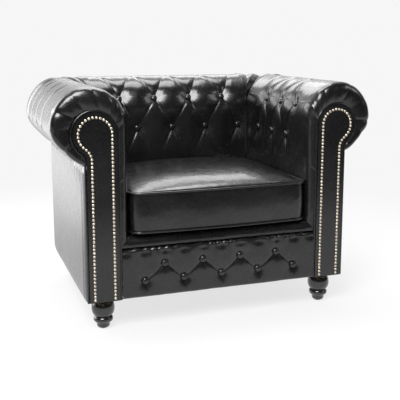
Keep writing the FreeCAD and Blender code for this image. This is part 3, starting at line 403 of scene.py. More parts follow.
class Profile:
    """Rows across a roll: up the inside face, over the roll and into the fold under it."""

    def __init__(self, sizes):
        self.sizes = sizes
        rise = sizes.roll_height - sizes.deck_height
        end = self.roll_end(sizes.panel_offset, sizes.roll_radius, sizes.roll_radius, FOLD_RADIUS)
        sweep = (math.pi - end) * sizes.roll_radius
        straight = np.linspace(0.0, 1.0, round(rise / sizes.grid), endpoint=False)
        over = np.linspace(0.0, 1.0, round(sweep / sizes.grid), endpoint=False)
        tucked = np.linspace(0.0, 1.0, TUCK_ROWS)
        self.kind = np.repeat([0, 1, 2], [len(straight), len(over), len(tucked)])
        self.share = np.concatenate([straight, over, tucked])
        self.along = np.concatenate(
            [straight * rise, rise + over * sweep, rise + sweep + tucked * TUCK_DEPTH])
        self.angle = np.concatenate([
            np.full(len(straight), math.pi), math.pi - over * (math.pi - end),
            np.full(len(tucked), end)])

    def roll_end(self, outer, centre, radius, neck):
        """Angle on the roll where the hollow under it starts."""
        across = outer + neck - centre
        drop = np.sqrt((radius + neck) ** 2 - across ** 2)
        return np.arctan2(-drop, across)

    def height_on_roll(self, height):
        """Distance up the profile of a height above the floor, on the inside of the roll."""
        sizes = self.sizes
        lift = max(height - sizes.roll_height, 0.0)
        arc = math.asin(lift / sizes.roll_radius) * sizes.roll_radius
        return min(height, sizes.roll_height) - sizes.deck_height + arc

    def section(self, growth, bottom):
        """Offset from the inside face and height of each row, from the facing (0) to the roll (1)."""
        sizes = self.sizes
        centre = sizes.scroll_offset + (sizes.roll_radius - sizes.scroll_offset) * growth
        height = sizes.scroll_height + (sizes.roll_height - sizes.scroll_height) * growth
        radius = sizes.scroll_radius + (sizes.roll_radius - sizes.scroll_radius) * growth
        neck = sizes.scroll_neck + (FOLD_RADIUS - sizes.scroll_neck) * growth
        end = self.roll_end(sizes.panel_offset, centre, radius, neck)
        turn = math.pi - self.share * (math.pi - end)
        inward = end + math.pi
        bend = inward + self.share * (math.pi - inward)
        hollow_x = centre + (radius + neck) * np.cos(end)
        hollow_z = height + (radius + neck) * np.sin(end)
        lean = np.sin(np.clip(-turn / LEAN_SPAN, 0.0, 1.0) * math.pi) ** 2
        over = radius - sizes.lean * lean * growth
        inner = (centre - radius) * np.ones(len(turn))
        offset = np.choose(self.kind, [
            inner, centre + over * np.cos(turn), hollow_x + neck * np.cos(bend)])
        level = np.choose(self.kind, [
            bottom + self.share * (height - bottom), height + over * np.sin(turn),
            hollow_z + neck * np.sin(bend)])
        return offset, level


def corner_length(offset, reach):
    """How far each row runs from the start of a rounded corner to its mitre."""
    return np.where(offset > reach, reach + (offset - reach) * math.pi / 4, offset)


def corner_place(offset, share, reach):
    """How far along and out each row lies in the corner, share 0 at its start and 1 on the mitre."""
    beyond = np.maximum(offset - reach, 0.0)
    run = share * corner_length(offset, reach)
    turn = np.where(beyond > 0, (run - reach) / np.maximum(beyond, 1e-6), 0.0)
    turned = (beyond > 0) & (run > reach)
    along = np.where(turned, reach + beyond * np.sin(turn), run)
    out = np.where(turned, reach + beyond * np.cos(turn), offset)
    return along, out


CREASE_WIDTH = 0.0065
CREASE_DEPTH = 0.0035
BUTTON_SHOWS = 0.0045
BUTTON_BITE = 0.001
BUTTON_SEAT = 0.008
DIMPLE_POWER = 1.15
CROWN_ABOVE = 0.125
CREST = 0.001


class Tufting:
    """Dimples round the buttons and creases between them, as a height at each place on the leather."""

    def __init__(self, spread=0.024, width=0.05):
        self.spread = spread
        self.width = width
        self.folds = []
        self.buttons = []

    def fold(self, start, end, groove, crease=(0.0, 0.0)):
        """A soft groove and a thin crease in it, each with its depth at the start and at the end."""
        self.folds.append((start, end, groove, crease))

    def button(self, place, depth):
        self.buttons.append((place, depth))

    def height(self, along, up, crest, seams=()):
        """Height of the leather over its plain form. Seams are further folds, each as an array of
        distances and an array of depths."""
        groove = np.zeros(along.shape)
        crease = np.zeros(along.shape)
        for (x0, z0), (x1, z1), soft, sharp in self.folds:
            run_x, run_z = x1 - x0, z1 - z0
            share = ((along - x0) * run_x + (up - z0) * run_z) / (run_x ** 2 + run_z ** 2)
            share = np.clip(share, 0.0, 1.0)
            away = np.hypot(along - x0 - share * run_x, up - z0 - share * run_z)
            soft = soft[0] + (soft[1] - soft[0]) * share
            sharp = sharp[0] + (sharp[1] - sharp[0]) * share
            groove = np.maximum(groove, soft * np.maximum(1.0 - away / self.width, 0.0) ** 2)
            crease = np.maximum(crease, sharp * np.maximum(1.0 - away / CREASE_WIDTH, 0.0))
        for away, depth in seams:
            groove = np.maximum(groove, depth * np.maximum(1.0 - away / self.width, 0.0) ** 2)
            crease = np.maximum(crease, 0.2 * depth * np.maximum(1.0 - away / CREASE_WIDTH, 0.0))
        pull = np.zeros(along.shape)
        sunk = np.zeros(along.shape)
        for (x, z), depth in self.buttons:
            away = np.maximum(np.hypot(along - x, up - z) - BUTTON_SEAT, 0.0) / self.spread
            near = np.exp(-away ** DIMPLE_POWER)
            pull = np.maximum(pull, near)
            sunk = np.maximum(sunk, depth * near)
        return (crest - groove) * (1.0 - pull) - crease * (1.0 - pull ** 5) - sunk


DIAMOND_REACH = 0.8
FOLD_FULL = 0.7
CREST_CREASE = (0.021, 0.05)
FOOT_SPREAD = 0.36
FOOT_DROP = 0.09


def roll_tufting(sizes, profile, pitch, top_row, low_row):
    """Tufting of one run of padding: diamonds on the inside and pleats over the roll."""
    tufts = Tufting()
    upper = profile.height_on_roll(sizes.row_upper)
    lower = profile.height_on_roll(sizes.row_lower)
    fold_end = profile.along[-1]
    deep = sizes.crease_depth
    full = deep * FOLD_FULL
    top = upper + CROWN_ABOVE
    for place in top_row:
        tufts.button((place, upper), sizes.button_depth - BUTTON_SHOWS)
        for other in low_row:
            if abs(other - place) < pitch * DIAMOND_REACH:
                tufts.fold((place, upper), (other, lower), (full, deep * 0.5), (CREASE_DEPTH, 0.0))
                tufts.fold((place, upper), (other, top), (full, full), (0.002, 0.0))
        for side in (-1, 1):
            end = (place + side * CREST_CREASE[0], upper + CREST_CREASE[1])
            tufts.fold((place, upper), end, (0.0, 0.0), (CREASE_DEPTH, 0.0))
    for place in low_row:
        tufts.fold((place, top), (place, fold_end), (full, deep * 0.55), (0.001, 0.002))
        tufts.button((place, lower), sizes.button_depth - BUTTON_SHOWS)
        for side in (-1, 1):
            foot = (place + side * pitch * FOOT_SPREAD, lower - FOOT_DROP)
            tufts.fold((place, lower), foot, (deep * 0.6, deep * 0.1), (CREASE_DEPTH, 0.0))
    return tufts


GATHERS_START = math.radians(168)
GATHERS_END = math.radians(-72)
GATHER_DEPTHS = (0.0006, 0.0034)
GATHER_WIDTHS = (0.16, 0.3)
GATHER_LEAN = 0.12
GATHER_STEPS = (18, 44)


def band_gathers(profile, share, seed):
    """Pinched pleats round the scroll: how deep each row lies at a share of the band's width."""
    random = np.random.default_rng(seed)
    depth = np.zeros(len(profile.angle))
    angle = GATHERS_START
    while angle > GATHERS_END:
        strength = random.uniform(*GATHER_DEPTHS)
        width = random.uniform(*GATHER_WIDTHS)
        lean = random.uniform(-GATHER_LEAN, GATHER_LEAN) * share
        away = np.abs(profile.angle - angle - lean) / width
        depth = np.maximum(depth, strength * np.maximum(1.0 - away, 0.0) ** 2)
        angle -= math.radians(random.uniform(*GATHER_STEPS))
    reach = math.sin(math.pi * min(share * 0.8 + 0.2, 1.0))
    return np.where(profile.kind == 1, depth * reach, 0.0)


BAND_COLUMNS = 21
BAND_TURN = math.radians(60)
BAND_PULL = 0.35
BAND_SWELL = 0.0075
SCROLL_SWELL = 0.0035
CORNER_COLUMNS = 21
CORNER_LEAST = 0.04
CORNER_PLEAT = 0.45
FLAT_BELOW = 0.2
PLEAT_ABOVE = 0.4
FAR = 9.0


class Run:
    """The plain form of one padded run in its own frame (along, outwards, up), column by column."""

    def __init__(self, sizes, profile):
        self.sizes = sizes
        self.profile = profile
        self.columns = []

    def add(self, along, out, level, place, corner=0.0, gathers=0.0):
        parts = np.broadcast_arrays(along, out, level, place, corner, gathers)
        self.columns.append(np.stack(parts, axis=-1))

    def band(self, seed):
        """The rounded front edge: long on the inside, tight round the scroll."""
        sizes = self.sizes
        arc = smooth(0.0, 1.0, (math.pi - self.profile.angle) / BAND_TURN)
        depth = sizes.band_depth + (sizes.scroll_edge - sizes.band_depth) * arc
        reach = 1.0 - BAND_PULL * arc
        swell = BAND_SWELL + SCROLL_SWELL * arc
        for share in np.linspace(0.0, 1.0, BAND_COLUMNS):
            edge = np.minimum(share / reach, 1.0)
            turn = edge * math.pi / 2
            growth = np.sin(turn)
            bottom = sizes.deck_height + (sizes.lip_top - sizes.deck_height) * growth
            offset, level = self.profile.section(growth, bottom)
            bulge = swell * np.sin(math.pi * edge) ** 0.8
            after = np.clip((share - reach) / np.maximum(1.0 - reach, 1e-6), 0.0, 1.0)
            after *= sizes.band_depth - depth
            place = sizes.band_front + depth * (1.0 - np.cos(turn)) - bulge + after
            self.add(place, offset, level, place, gathers=band_gathers(self.profile, share, seed))
        return sizes.band_front + sizes.band_depth

    def straight(self, start, end):
        offset, level = self.profile.section(1.0, self.sizes.deck_height)
        for place in np.linspace(start, end, round((end - start) / self.sizes.grid) + 1):
            self.add(place, offset, level, place)

    def turn(self, start, side):
        """Half of a rounded corner, from its start to the mitre, or back from the mitre for side -1."""
        offset, level = self.profile.section(1.0, self.sizes.deck_height)
        reach = self.sizes.corner_reach
        shares = np.linspace(0.0, 1.0, CORNER_COLUMNS)[1:]
        length = np.maximum(corner_length(offset, reach), CORNER_LEAST)
        for share in shares if side > 0 else shares[::-1]:
            along, out = corner_place(offset, share, reach)
            self.add(start + side * along, out, level, start + side * share * length, side * share)

    def built(self, tufts, world, name, replaced):
        """Raises the leather over the plain form and makes the piece."""
        sizes = self.sizes
        profile = self.profile
        columns = np.stack(self.columns, axis=1)
        points = columns[..., :3]
        along, corner, gathers = np.moveaxis(columns[..., 3:], -1, 0)
        up = np.broadcast_to(profile.along[:, None], along.shape)
        offset = np.where(np.abs(corner) > 0, profile.section(1.0, sizes.deck_height)[0][:, None], 0.0)
        length = np.maximum(corner_length(offset, sizes.corner_reach), CORNER_LEAST)
        ends = []
        for side in (-1, 1):
            limit = along[:, corner[0] * side > 0]
            if limit.size:
                last = limit.max(axis=1) if side > 0 else limit.min(axis=1)
                ends.append(np.abs(along - last[:, None]))
        seams = []
        over = smooth(0.30, 0.42, up)
        for away in ends:
            seams.append((away, 0.007 + 0.008 * over - 0.006 * smooth(0.55, 0.8, up)))
        if ends:
            pleat = np.where(up > PLEAT_ABOVE, np.abs(np.abs(corner) - CORNER_PLEAT) * length, FAR)
            seams.append((pleat, 0.004 + 0.004 * smooth(0.4, 0.5, up) - 0.003 * smooth(0.6, 0.85, up)))
        crest = CREST + sizes.crown * smooth(0.33, 0.43, up) * (1.0 - smooth(0.52, 0.64, up))
        height = tufts.height(along, up, crest, seams)
        height = np.where(up < FLAT_BELOW, np.minimum(height, 0.0), height) - gathers
        normals = surface_normals(points)
        out, rise = normals[..., 1], normals[..., 2]
        bisector = np.stack([np.sign(corner) * out, out, rise], axis=-1)
        power = np.where(offset < sizes.corner_reach, 2, 8)
        weight = (np.abs(corner) ** power)[..., None]
        normals = normals * (1.0 - weight) + bisector * weight
        normals /= np.maximum(np.linalg.norm(normals, axis=-1, keepdims=True), 1e-9)
        points = world(points)
        normals = world(normals) - world(np.zeros(3))
        height += uneven(points, (16.0, 1, 0.0008), (42.0, 2, 0.00035))
        upholstered(name, points, normals, height, replaced)


def arm_rows(sizes):
    """Places of the upper and the lower buttons along an arm."""
    top = [sizes.arm_first + number * sizes.arm_pitch for number in range(3)]
    return top, [place + sizes.arm_pitch / 2 for place in top]


def back_rows(sizes):
    """Places of the upper and the lower buttons along the back."""
    top = [column * sizes.back_pitch for column in (-1.5, -0.5, 0.5, 1.5)]
    return top, [column * sizes.back_pitch for column in (-2, -1, 0, 1, 2)]


class UpholsterArms(bpy.types.Operator):
    """Tufted leather over both arms, with the gathered fronts"""

    bl_idname = "chesterfield.upholster_arms"
    bl_label = "Upholster arms"

    def execute(self, context):
        sizes = context.scene.chesterfield_sizes
        profile = Profile(sizes)
        top, low = arm_rows(sizes)
        tufts = roll_tufting(sizes, profile, sizes.arm_pitch, top, low)
        for side, word, seed in ((-1, "left", 11), (1, "right", 23)):
            run = Run(sizes, profile)
            start = run.band(seed)
            run.straight(start + sizes.grid, sizes.inner_y)
            run.turn(sizes.inner_y, 1)

            def world(points):
                return np.stack(
                    [side * (points[..., 1] + sizes.inner_x), points[..., 0], points[..., 2]], axis=-1)

            run.built(tufts, world, f"tufted_arm_{word}", f"arm_pad_{word}")
        return {"FINISHED"}


class UpholsterBack(bpy.types.Operator):
    """Tufted leather over the back"""

    bl_idname = "chesterfield.upholster_back"
    bl_label = "Upholster back"

    def execute(self, context):
        sizes = context.scene.chesterfield_sizes
        profile = Profile(sizes)
        top, low = back_rows(sizes)
        tufts = roll_tufting(sizes, profile, sizes.back_pitch, top, low)
        run = Run(sizes, profile)
        run.turn(-sizes.inner_x, -1)
        run.straight(-sizes.inner_x, sizes.inner_x)
        run.turn(sizes.inner_x, 1)

        def world(points):
            return np.stack([points[..., 0], points[..., 1] + sizes.inner_y, points[..., 2]], axis=-1)

        run.built(tufts, world, "tufted_back", "back_pad")
        return {"FINISHED"}


def keyhole_path(sizes, inset, bottom, count):
    """Points spaced evenly along the facing's outline, drawn in by an inset, as offset and height."""
    radius = sizes.scroll_radius - inset
    neck = sizes.scroll_neck + inset
    outer = sizes.panel_offset - inset
    across = outer + neck - sizes.scroll_offset
    drop = math.sqrt((radius + neck) ** 2 - across ** 2)
    end = math.atan2(-drop, across)
    over = np.linspace(math.pi, end, 200)
    under = np.linspace(end + math.pi, math.pi, 60)
    offset = np.concatenate([
        [sizes.scroll_offset - radius], sizes.scroll_offset + radius * np.cos(over),
        outer + neck + neck * np.cos(under), [outer]])
    level = np.concatenate([
        [bottom], sizes.scroll_height + radius * np.sin(over),
        sizes.scroll_height - drop + neck * np.sin(under), [bottom]])
    run = np.concatenate([[0.0], np.cumsum(np.hypot(np.diff(offset), np.diff(level)))])
    stops = np.linspace(0.0, run[-1], count)
    return np.interp(stops, run, offset), np.interp(stops, run, level)


def lathe_rings(profile, centre, normal, segments):
    """Rings of points round a normal, for each radius and height of a profile."""
    normal = normal / np.linalg.norm(normal)
    side = np.cross(normal, (0.0, 0.0, 1.0) if abs(normal[2]) < 0.9 else (1.0, 0.0, 0.0))
    side /= np.linalg.norm(side)
    other = np.cross(normal, side)
    turn = np.arange(segments) * 2 * math.pi / segments
    ring = np.cos(turn)[:, None] * side + np.sin(turn)[:, None] * other
    return np.stack([centre + ring * radius + normal * rise for radius, rise in profile])


def studs(name, places, profile, segments, material, node):
    """One piece of many turned heads, each on its centre and normal, in place of a CAD node."""
    points = []
    faces = []
    for centre, normal in places:
        rings = lathe_rings(profile, np.array(centre), np.array(normal), segments)
        start = len(points)
        points.extend(rings.reshape(-1, 3).tolist())
        for level in range(len(profile) - 1):
            for step in range(segments):
                low = start + level * segments + step
                side = start + level * segments + (step + 1) % segments
                faces.append((low, low + segments, side + segments, side))
        last = start + (len(profile) - 1) * segments
        faces.append([last + step for step in reversed(range(segments))])
    mesh = bpy.data.meshes.new(name)
    mesh.from_pydata(points, [], faces)
    clean = bmesh.new()
    clean.from_mesh(mesh)
    bmesh.ops.recalc_face_normals(clean, faces=clean.faces)
    clean.to_mesh(mesh)
    clean.free()
    piece = mesh_object(name, mesh, material)
    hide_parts(node)


def rounded(radius, swell, centre, half, count):
    """Radius and height of a bulging turning, from its top to its bottom."""
    turn = np.linspace(0.0, math.pi, count)
    return [(radius + swell * math.sin(angle), centre + half * math.cos(angle)) for angle in turn]


# Heads and feet are turned from these: radius and height of each ring, from its seat outwards. A
# button's radii are shares of the button's own radius.
BUTTON_DOME = ((0.96, 0.0), (1.0, 0.0016), (0.97, 0.0034), (0.88, 0.0052), (0.7, 0.0065), (0.4, 0.0074),
               (0.08, 0.0078))
BUTTON_SEGMENTS = 28
BORDER_BUTTON_SHOWS = 0.003
BORDER_BUTTON_BITE = 0.0005
NAIL_DOME = ((0.0043, -0.0003), (0.0042, 0.0005), (0.0036, 0.0017), (0.0025, 0.0026), (0.0012, 0.0031),
             (0.0003, 0.0032))
NAIL_SEGMENTS = 12
NAIL_INSET = 0.015
NAIL_START = 0.102
NAIL_COUNT = 105
FOOT_SEGMENTS = 48
FOOT_NECK = 0.0285
FOOT_NECK_END = 0.085
# Radius, swell, height of the middle, half height and count of points of each rounded turning.
FOOT_BULB = (0.023, 0.011, 0.0615, 0.0225, 20)
FOOT_RING = (0.0225, 0.0062, 0.0285, 0.0085, 14)
FOOT_SOLE = 0.0168
FOOT_TAPER = ((0.0206, 0.0188), (0.0198, 0.014), (0.0191, 0.0085), (0.0183, 0.0066))


def seated(point, normal, depth):
    """A button's seat: its place on the plain padding, drawn in along the normal."""
    return np.array(point) - np.array(normal) * depth, normal


class CoverButtons(bpy.types.Operator):
    """Leather covered buttons in the arms, the back and the border under the seat"""

    bl_idname = "chesterfield.cover_buttons"
    bl_label = "Cover buttons"

    def execute(self, context):
        sizes = context.scene.chesterfield_sizes
        dome = [(sizes.button_radius * share, rise) for share, rise in BUTTON_DOME]
        tilt = math.asin((sizes.row_upper - sizes.roll_height) / sizes.roll_radius)
        drawn_in = sizes.button_depth - BUTTON_SHOWS + BUTTON_BITE
        rows = (
            (sizes.row_upper, sizes.roll_radius * (1 - math.cos(tilt)), tilt),
            (sizes.row_lower, 0.0, 0.0))
        runs = (
            ("left", "arm_buttons_left", -1, arm_rows(sizes)),
            ("right", "arm_buttons_right", 1, arm_rows(sizes)),
            ("back", "back_buttons", 0, back_rows(sizes)))
        for word, node, side, run in runs:
            places = []
            for (height, lean, lift), row in zip(rows, run):
                inwards, up = math.cos(lift), math.sin(lift)
                for place in row:
                    if side:
                        point = (side * (sizes.inner_x + lean), place, height)
                        places.append(seated(point, (-side * inwards, 0.0, up), drawn_in))
                    else:
                        point = (place, sizes.inner_y + lean, height)
                        places.append(seated(point, (0.0, -inwards, up), drawn_in))
            studs(f"covered_buttons_{word}", places, dome, BUTTON_SEGMENTS, "button_leather", node)
        drawn_in = sizes.border_button_depth - BORDER_BUTTON_SHOWS + BORDER_BUTTON_BITE
        places = [
            seated((x, sizes.facing_y, z), (0.0, -1.0, 0.0), drawn_in) for x, z in border_buttons(sizes)]
        studs("covered_buttons_border", places, dome, BUTTON_SEGMENTS, "button_leather", "apron_buttons")
        return {"FINISHED"}


def border_buttons(sizes):
    """Places of the border's buttons, from left to right, as a zigzag."""
    places = []
    for number in range(9):
        low = number % 2 == 0
        x = (number - 4) * sizes.border_pitch / 2
        places.append((x, sizes.border_lower if low else sizes.border_upper))
    return places


class TurnFeet(bpy.types.Operator):
    """Turned front feet: a bulb, a ring and a short taper"""

    bl_idname = "chesterfield.turn_feet"
    bl_label = "Turn feet"

    def execute(self, context):
        for word in ("left", "right"):
            low, high = node_box(f"front_foot_{word}")
            middle = (low + high) / 2
            outline = [(FOOT_NECK, high[2]), (FOOT_NECK, FOOT_NECK_END), *rounded(*FOOT_BULB),
                       *rounded(*FOOT_RING), *FOOT_TAPER, (FOOT_SOLE, low[2])]
            outline = [(radius, level - low[2]) for radius, level in outline]
            place = ((middle[0], middle[1], low[2]), (0.0, 0.0, 1.0))
            studs(f"turned_foot_{word}", [place], outline, FOOT_SEGMENTS, "black_wood",
                  f"front_foot_{word}")
        return {"FINISHED"}


class TrimFacings(bpy.types.Operator):
    """Rows of domed nails round both arm facings"""

    bl_idname = "chesterfield.trim_facings"
    bl_label = "Trim facings"

    def execute(self, context):
        sizes = context.scene.chesterfield_sizes
        offset, level = keyhole_path(sizes, NAIL_INSET, NAIL_START, NAIL_COUNT)
        for side, word in ((-1, "left"), (1, "right")):
            places = [((side * (sizes.inner_x + out), sizes.facing_y, up), (0.0, -1.0, 0.0))
                      for out, up in zip(offset, level)]
            studs(f"domed_nails_{word}", places, NAIL_DOME, NAIL_SEGMENTS, "nail_brass",
                  f"facing_nails_{word}")
        return {"FINISHED"}


PANEL_CORNER = 0.028
PANEL_EDGE = 0.006
PANEL_TUCK = 0.002
ARM_PANEL_SWELL = 0.0006
BACK_PANEL_SWELL = 0.0008
SEAM_WIDTH = 0.0035
SEAM_DEPTH = 0.0022
HEM_HEIGHT = 0.018
HEM_DEPTH = 0.0018
TUCK_HEIGHT = 0.012
PANEL_TUCKED = 0.0035
PUCKER_DEPTH = 0.0014
PUCKER_FADE = 0.05


class CoverPanels(bpy.types.Operator):
    """Leather panels outside the arms and the back"""

    bl_idname = "chesterfield.cover_panels"
    bl_label = "Cover panels"

    def execute(self, context):
        self.cover_arms(context.scene.chesterfield_sizes)
        self.cover_back()
        return {"FINISHED"}

    def cover_arms(self, sizes):
        low, high = node_box("outside_arm_right")
        front = quarter(9)[:-1]
        start = sizes.band_front + sizes.band_depth
        run = np.linspace(start, high[1] - PANEL_EDGE, 84)
        turn = quarter(6)[1:]
        y = np.concatenate([
            sizes.band_front + sizes.band_depth * (1 - np.cos(front)), run,
            high[1] - PANEL_EDGE + PANEL_EDGE * np.sin(turn)])
        x = np.concatenate([
            low[0] + (high[0] - low[0]) * np.sin(front), np.full(len(run), high[0]),
            high[0] - PANEL_EDGE * (1 - np.cos(turn))])
        lifted = np.clip(y - (high[1] - PANEL_CORNER), 0.0, PANEL_CORNER)
        bottom = low[2] + PANEL_CORNER - np.sqrt(PANEL_CORNER ** 2 - lifted ** 2)
        level = bottom + np.linspace(0.0, 1.0, 80)[:, None] * (high[2] + PANEL_TUCK - bottom)
        points = sheet_points(x, y, level)
        seam = np.exp(-((y - start) / SEAM_WIDTH) ** 2) * SEAM_DEPTH
        hem = smooth(0.0, HEM_HEIGHT, level - low[2]) * HEM_DEPTH - HEM_DEPTH
        tuck = -PANEL_TUCKED * smooth(high[2] - TUCK_HEIGHT, high[2], level)
        pucker = PUCKER_DEPTH * np.exp(-(high[2] - level) / PUCKER_FADE) * (
            np.cos(y * 260.0 + np.sin(y * 47.0) * 3.0) * (0.4 + np.exp(-((y + 0.25) / 0.07) ** 2)))
        for side, word in ((-1, "left"), (1, "right")):
            placed = points * (side, 1.0, 1.0)
            height = hem + tuck + pucker - seam + uneven(placed, (7.0, 3, 0.0009), (24.0, 4, 0.0003))
            normals = normals_towards(placed, (side, 0.0, 0.0))
            upholstered(f"panel_cover_{word}", placed, normals, np.minimum(height, ARM_PANEL_SWELL),
                        f"outside_arm_{word}", "panel_leather")

    def cover_back(self):
        low, high = node_box("outside_back")
        turn = quarter(9)
        rise = np.linspace(low[2] + PANEL_CORNER, high[2] + PANEL_TUCK, 88)[1:]
        y = np.concatenate([
            high[1] - PANEL_CORNER + PANEL_CORNER * np.sin(turn), np.full(len(rise), high[1])])
        level = np.concatenate([low[2] + PANEL_CORNER - PANEL_CORNER * np.cos(turn), rise])
        points = sheet_points(np.linspace(low[0], high[0], 180), y[:, None], level[:, None])
        normals = normals_towards(points, (0.0, 1.0, 0.0))
        edge = 0.0025 * (1.0 - smooth(0.0, 0.016, high[0] - np.abs(points[..., 0])))
        tuck = PANEL_TUCKED * smooth(high[2] - TUCK_HEIGHT, high[2], points[..., 2])
        height = uneven(points, (6.0, 5, 0.0012), (22.0, 6, 0.0003)) - edge - tuck
        upholstered("panel_cover_back", points, normals, np.minimum(height, BACK_PANEL_SWELL),
                    "outside_back")


LIP_BULGE = 0.004
LIP_UNDER = 0.012
LIP_CLEARANCE = 0.0006
BORDER_CORNER = 0.009
BORDER_UNDER = 0.02


class DressFront(bpy.types.Operator):
    """The padded seat edge and the buttoned border under it"""

    bl_idname = "chesterfield.dress_front"
    bl_label = "Dress front"

    def execute(self, context):
        sizes = context.scene.chesterfield_sizes
        self.make_lip(sizes)
        self.make_border(sizes)
        return {"FINISHED"}

    def make_lip(self, sizes):
        low, high = node_box("seat_lip")
        turn = quarter(18)
        growth = np.sin(turn)
        bulge = LIP_BULGE * np.sin(turn * 2) ** 0.8
        back = np.linspace(sizes.band_front + sizes.band_depth + 0.004, high[1], 10)
        y = np.concatenate([
            [low[1] + LIP_UNDER],
            sizes.band_front + sizes.band_depth * (1 - np.cos(turn)) - bulge, back])
        level = np.concatenate([
            [low[2]], low[2] + (sizes.lip_top - low[2]) * growth, np.full(len(back), sizes.lip_top)])
        inset = sizes.scroll_offset - sizes.scroll_radius
        drawn = inset * np.concatenate([[0.0], growth, np.ones(len(back))])
        half = sizes.inner_x + inset - drawn - LIP_CLEARANCE
        across = np.linspace(-1.0, 1.0, 190)
        points = sheet_points(across * half[:, None], y[:, None], level[:, None])
        normals = normals_towards(points, (0.0, -1.0, 1.0))
        end = smooth(0.0, 0.02, half[:, None] - np.abs(points[..., 0]))
        height = (uneven(points, (14.0, 7, 0.0012), (40.0, 8, 0.0004)) - 0.0012) * end
        upholstered("seat_edge", points, normals, height, "seat_lip")

    def make_border(self, sizes):
        low, high = node_box("apron_pad")
        turn = quarter(7)
        face = np.linspace(low[2] + BORDER_CORNER, high[2] - BORDER_CORNER, 66)[1:-1]
        rising = BORDER_CORNER * (1 - np.cos(turn))
        falling = BORDER_CORNER * (1 - np.sin(turn))
        y = np.concatenate([
            [low[1] + BORDER_UNDER], low[1] + falling, np.full(len(face), low[1]), low[1] + rising,
            [low[1] + BORDER_UNDER]])
        level = np.concatenate([[low[2]], low[2] + rising, face, high[2] - falling, [high[2]]])
        points = sheet_points(np.linspace(low[0], high[0], 300), y[:, None], level[:, None])
        normals = normals_towards(points, (0.0, -1.0, 0.0))
        along, up = points[..., 0], points[..., 2]
        tufts = Tufting(0.012, 0.02)
        places = border_buttons(sizes)
        for number, place in enumerate(places):
            tufts.button(place, sizes.border_button_depth - BORDER_BUTTON_SHOWS)
            if number:
                last = places[number - 1]
                middle = ((place[0] + last[0]) / 2, (place[1] + last[1]) / 2)
                for end in (last, place):
                    tufts.fold(end, middle, (0.0018, 0.0012), (0.003, 0.0014))
            tufts.fold(place, (place[0] + 0.004, place[1] - 0.032), (0.0008, 0.0), (0.0016, 0.0))
        height = tufts.height(along, up, 0.0004)
        gather = np.cos(along * 190.0 + np.sin(along * 31.0) * 4.0) * 0.5 + 0.5
        scallop = np.abs(np.sin(along * math.pi / sizes.border_pitch * 2.0))
        below = high[2] - up
        height = height - 0.0032 * np.exp(-below / 0.012) * gather
        height = height - 0.0026 * np.exp(-((below - 0.014) / 0.009) ** 2) * (1.0 - scallop)
        height = height + uneven(points, (13.0, 9, 0.001), (38.0, 10, 0.0004))
        upholstered("tufted_border", points, normals, height, "apron_pad")


CROWN_SQUARENESS = 2.6
CROWN_FULLNESS = 0.62
WALL_SWELL = 0.0035
WALL_RINGS = 30
UNDER_RINGS = 14
TOP_RINGS = 64
CUSHION_BOW = 0.01
CUSHION_CORNER = 0.03
FRONT_POINTS = 120
CORNER_POINTS = 12
SIDE_POINTS = 90


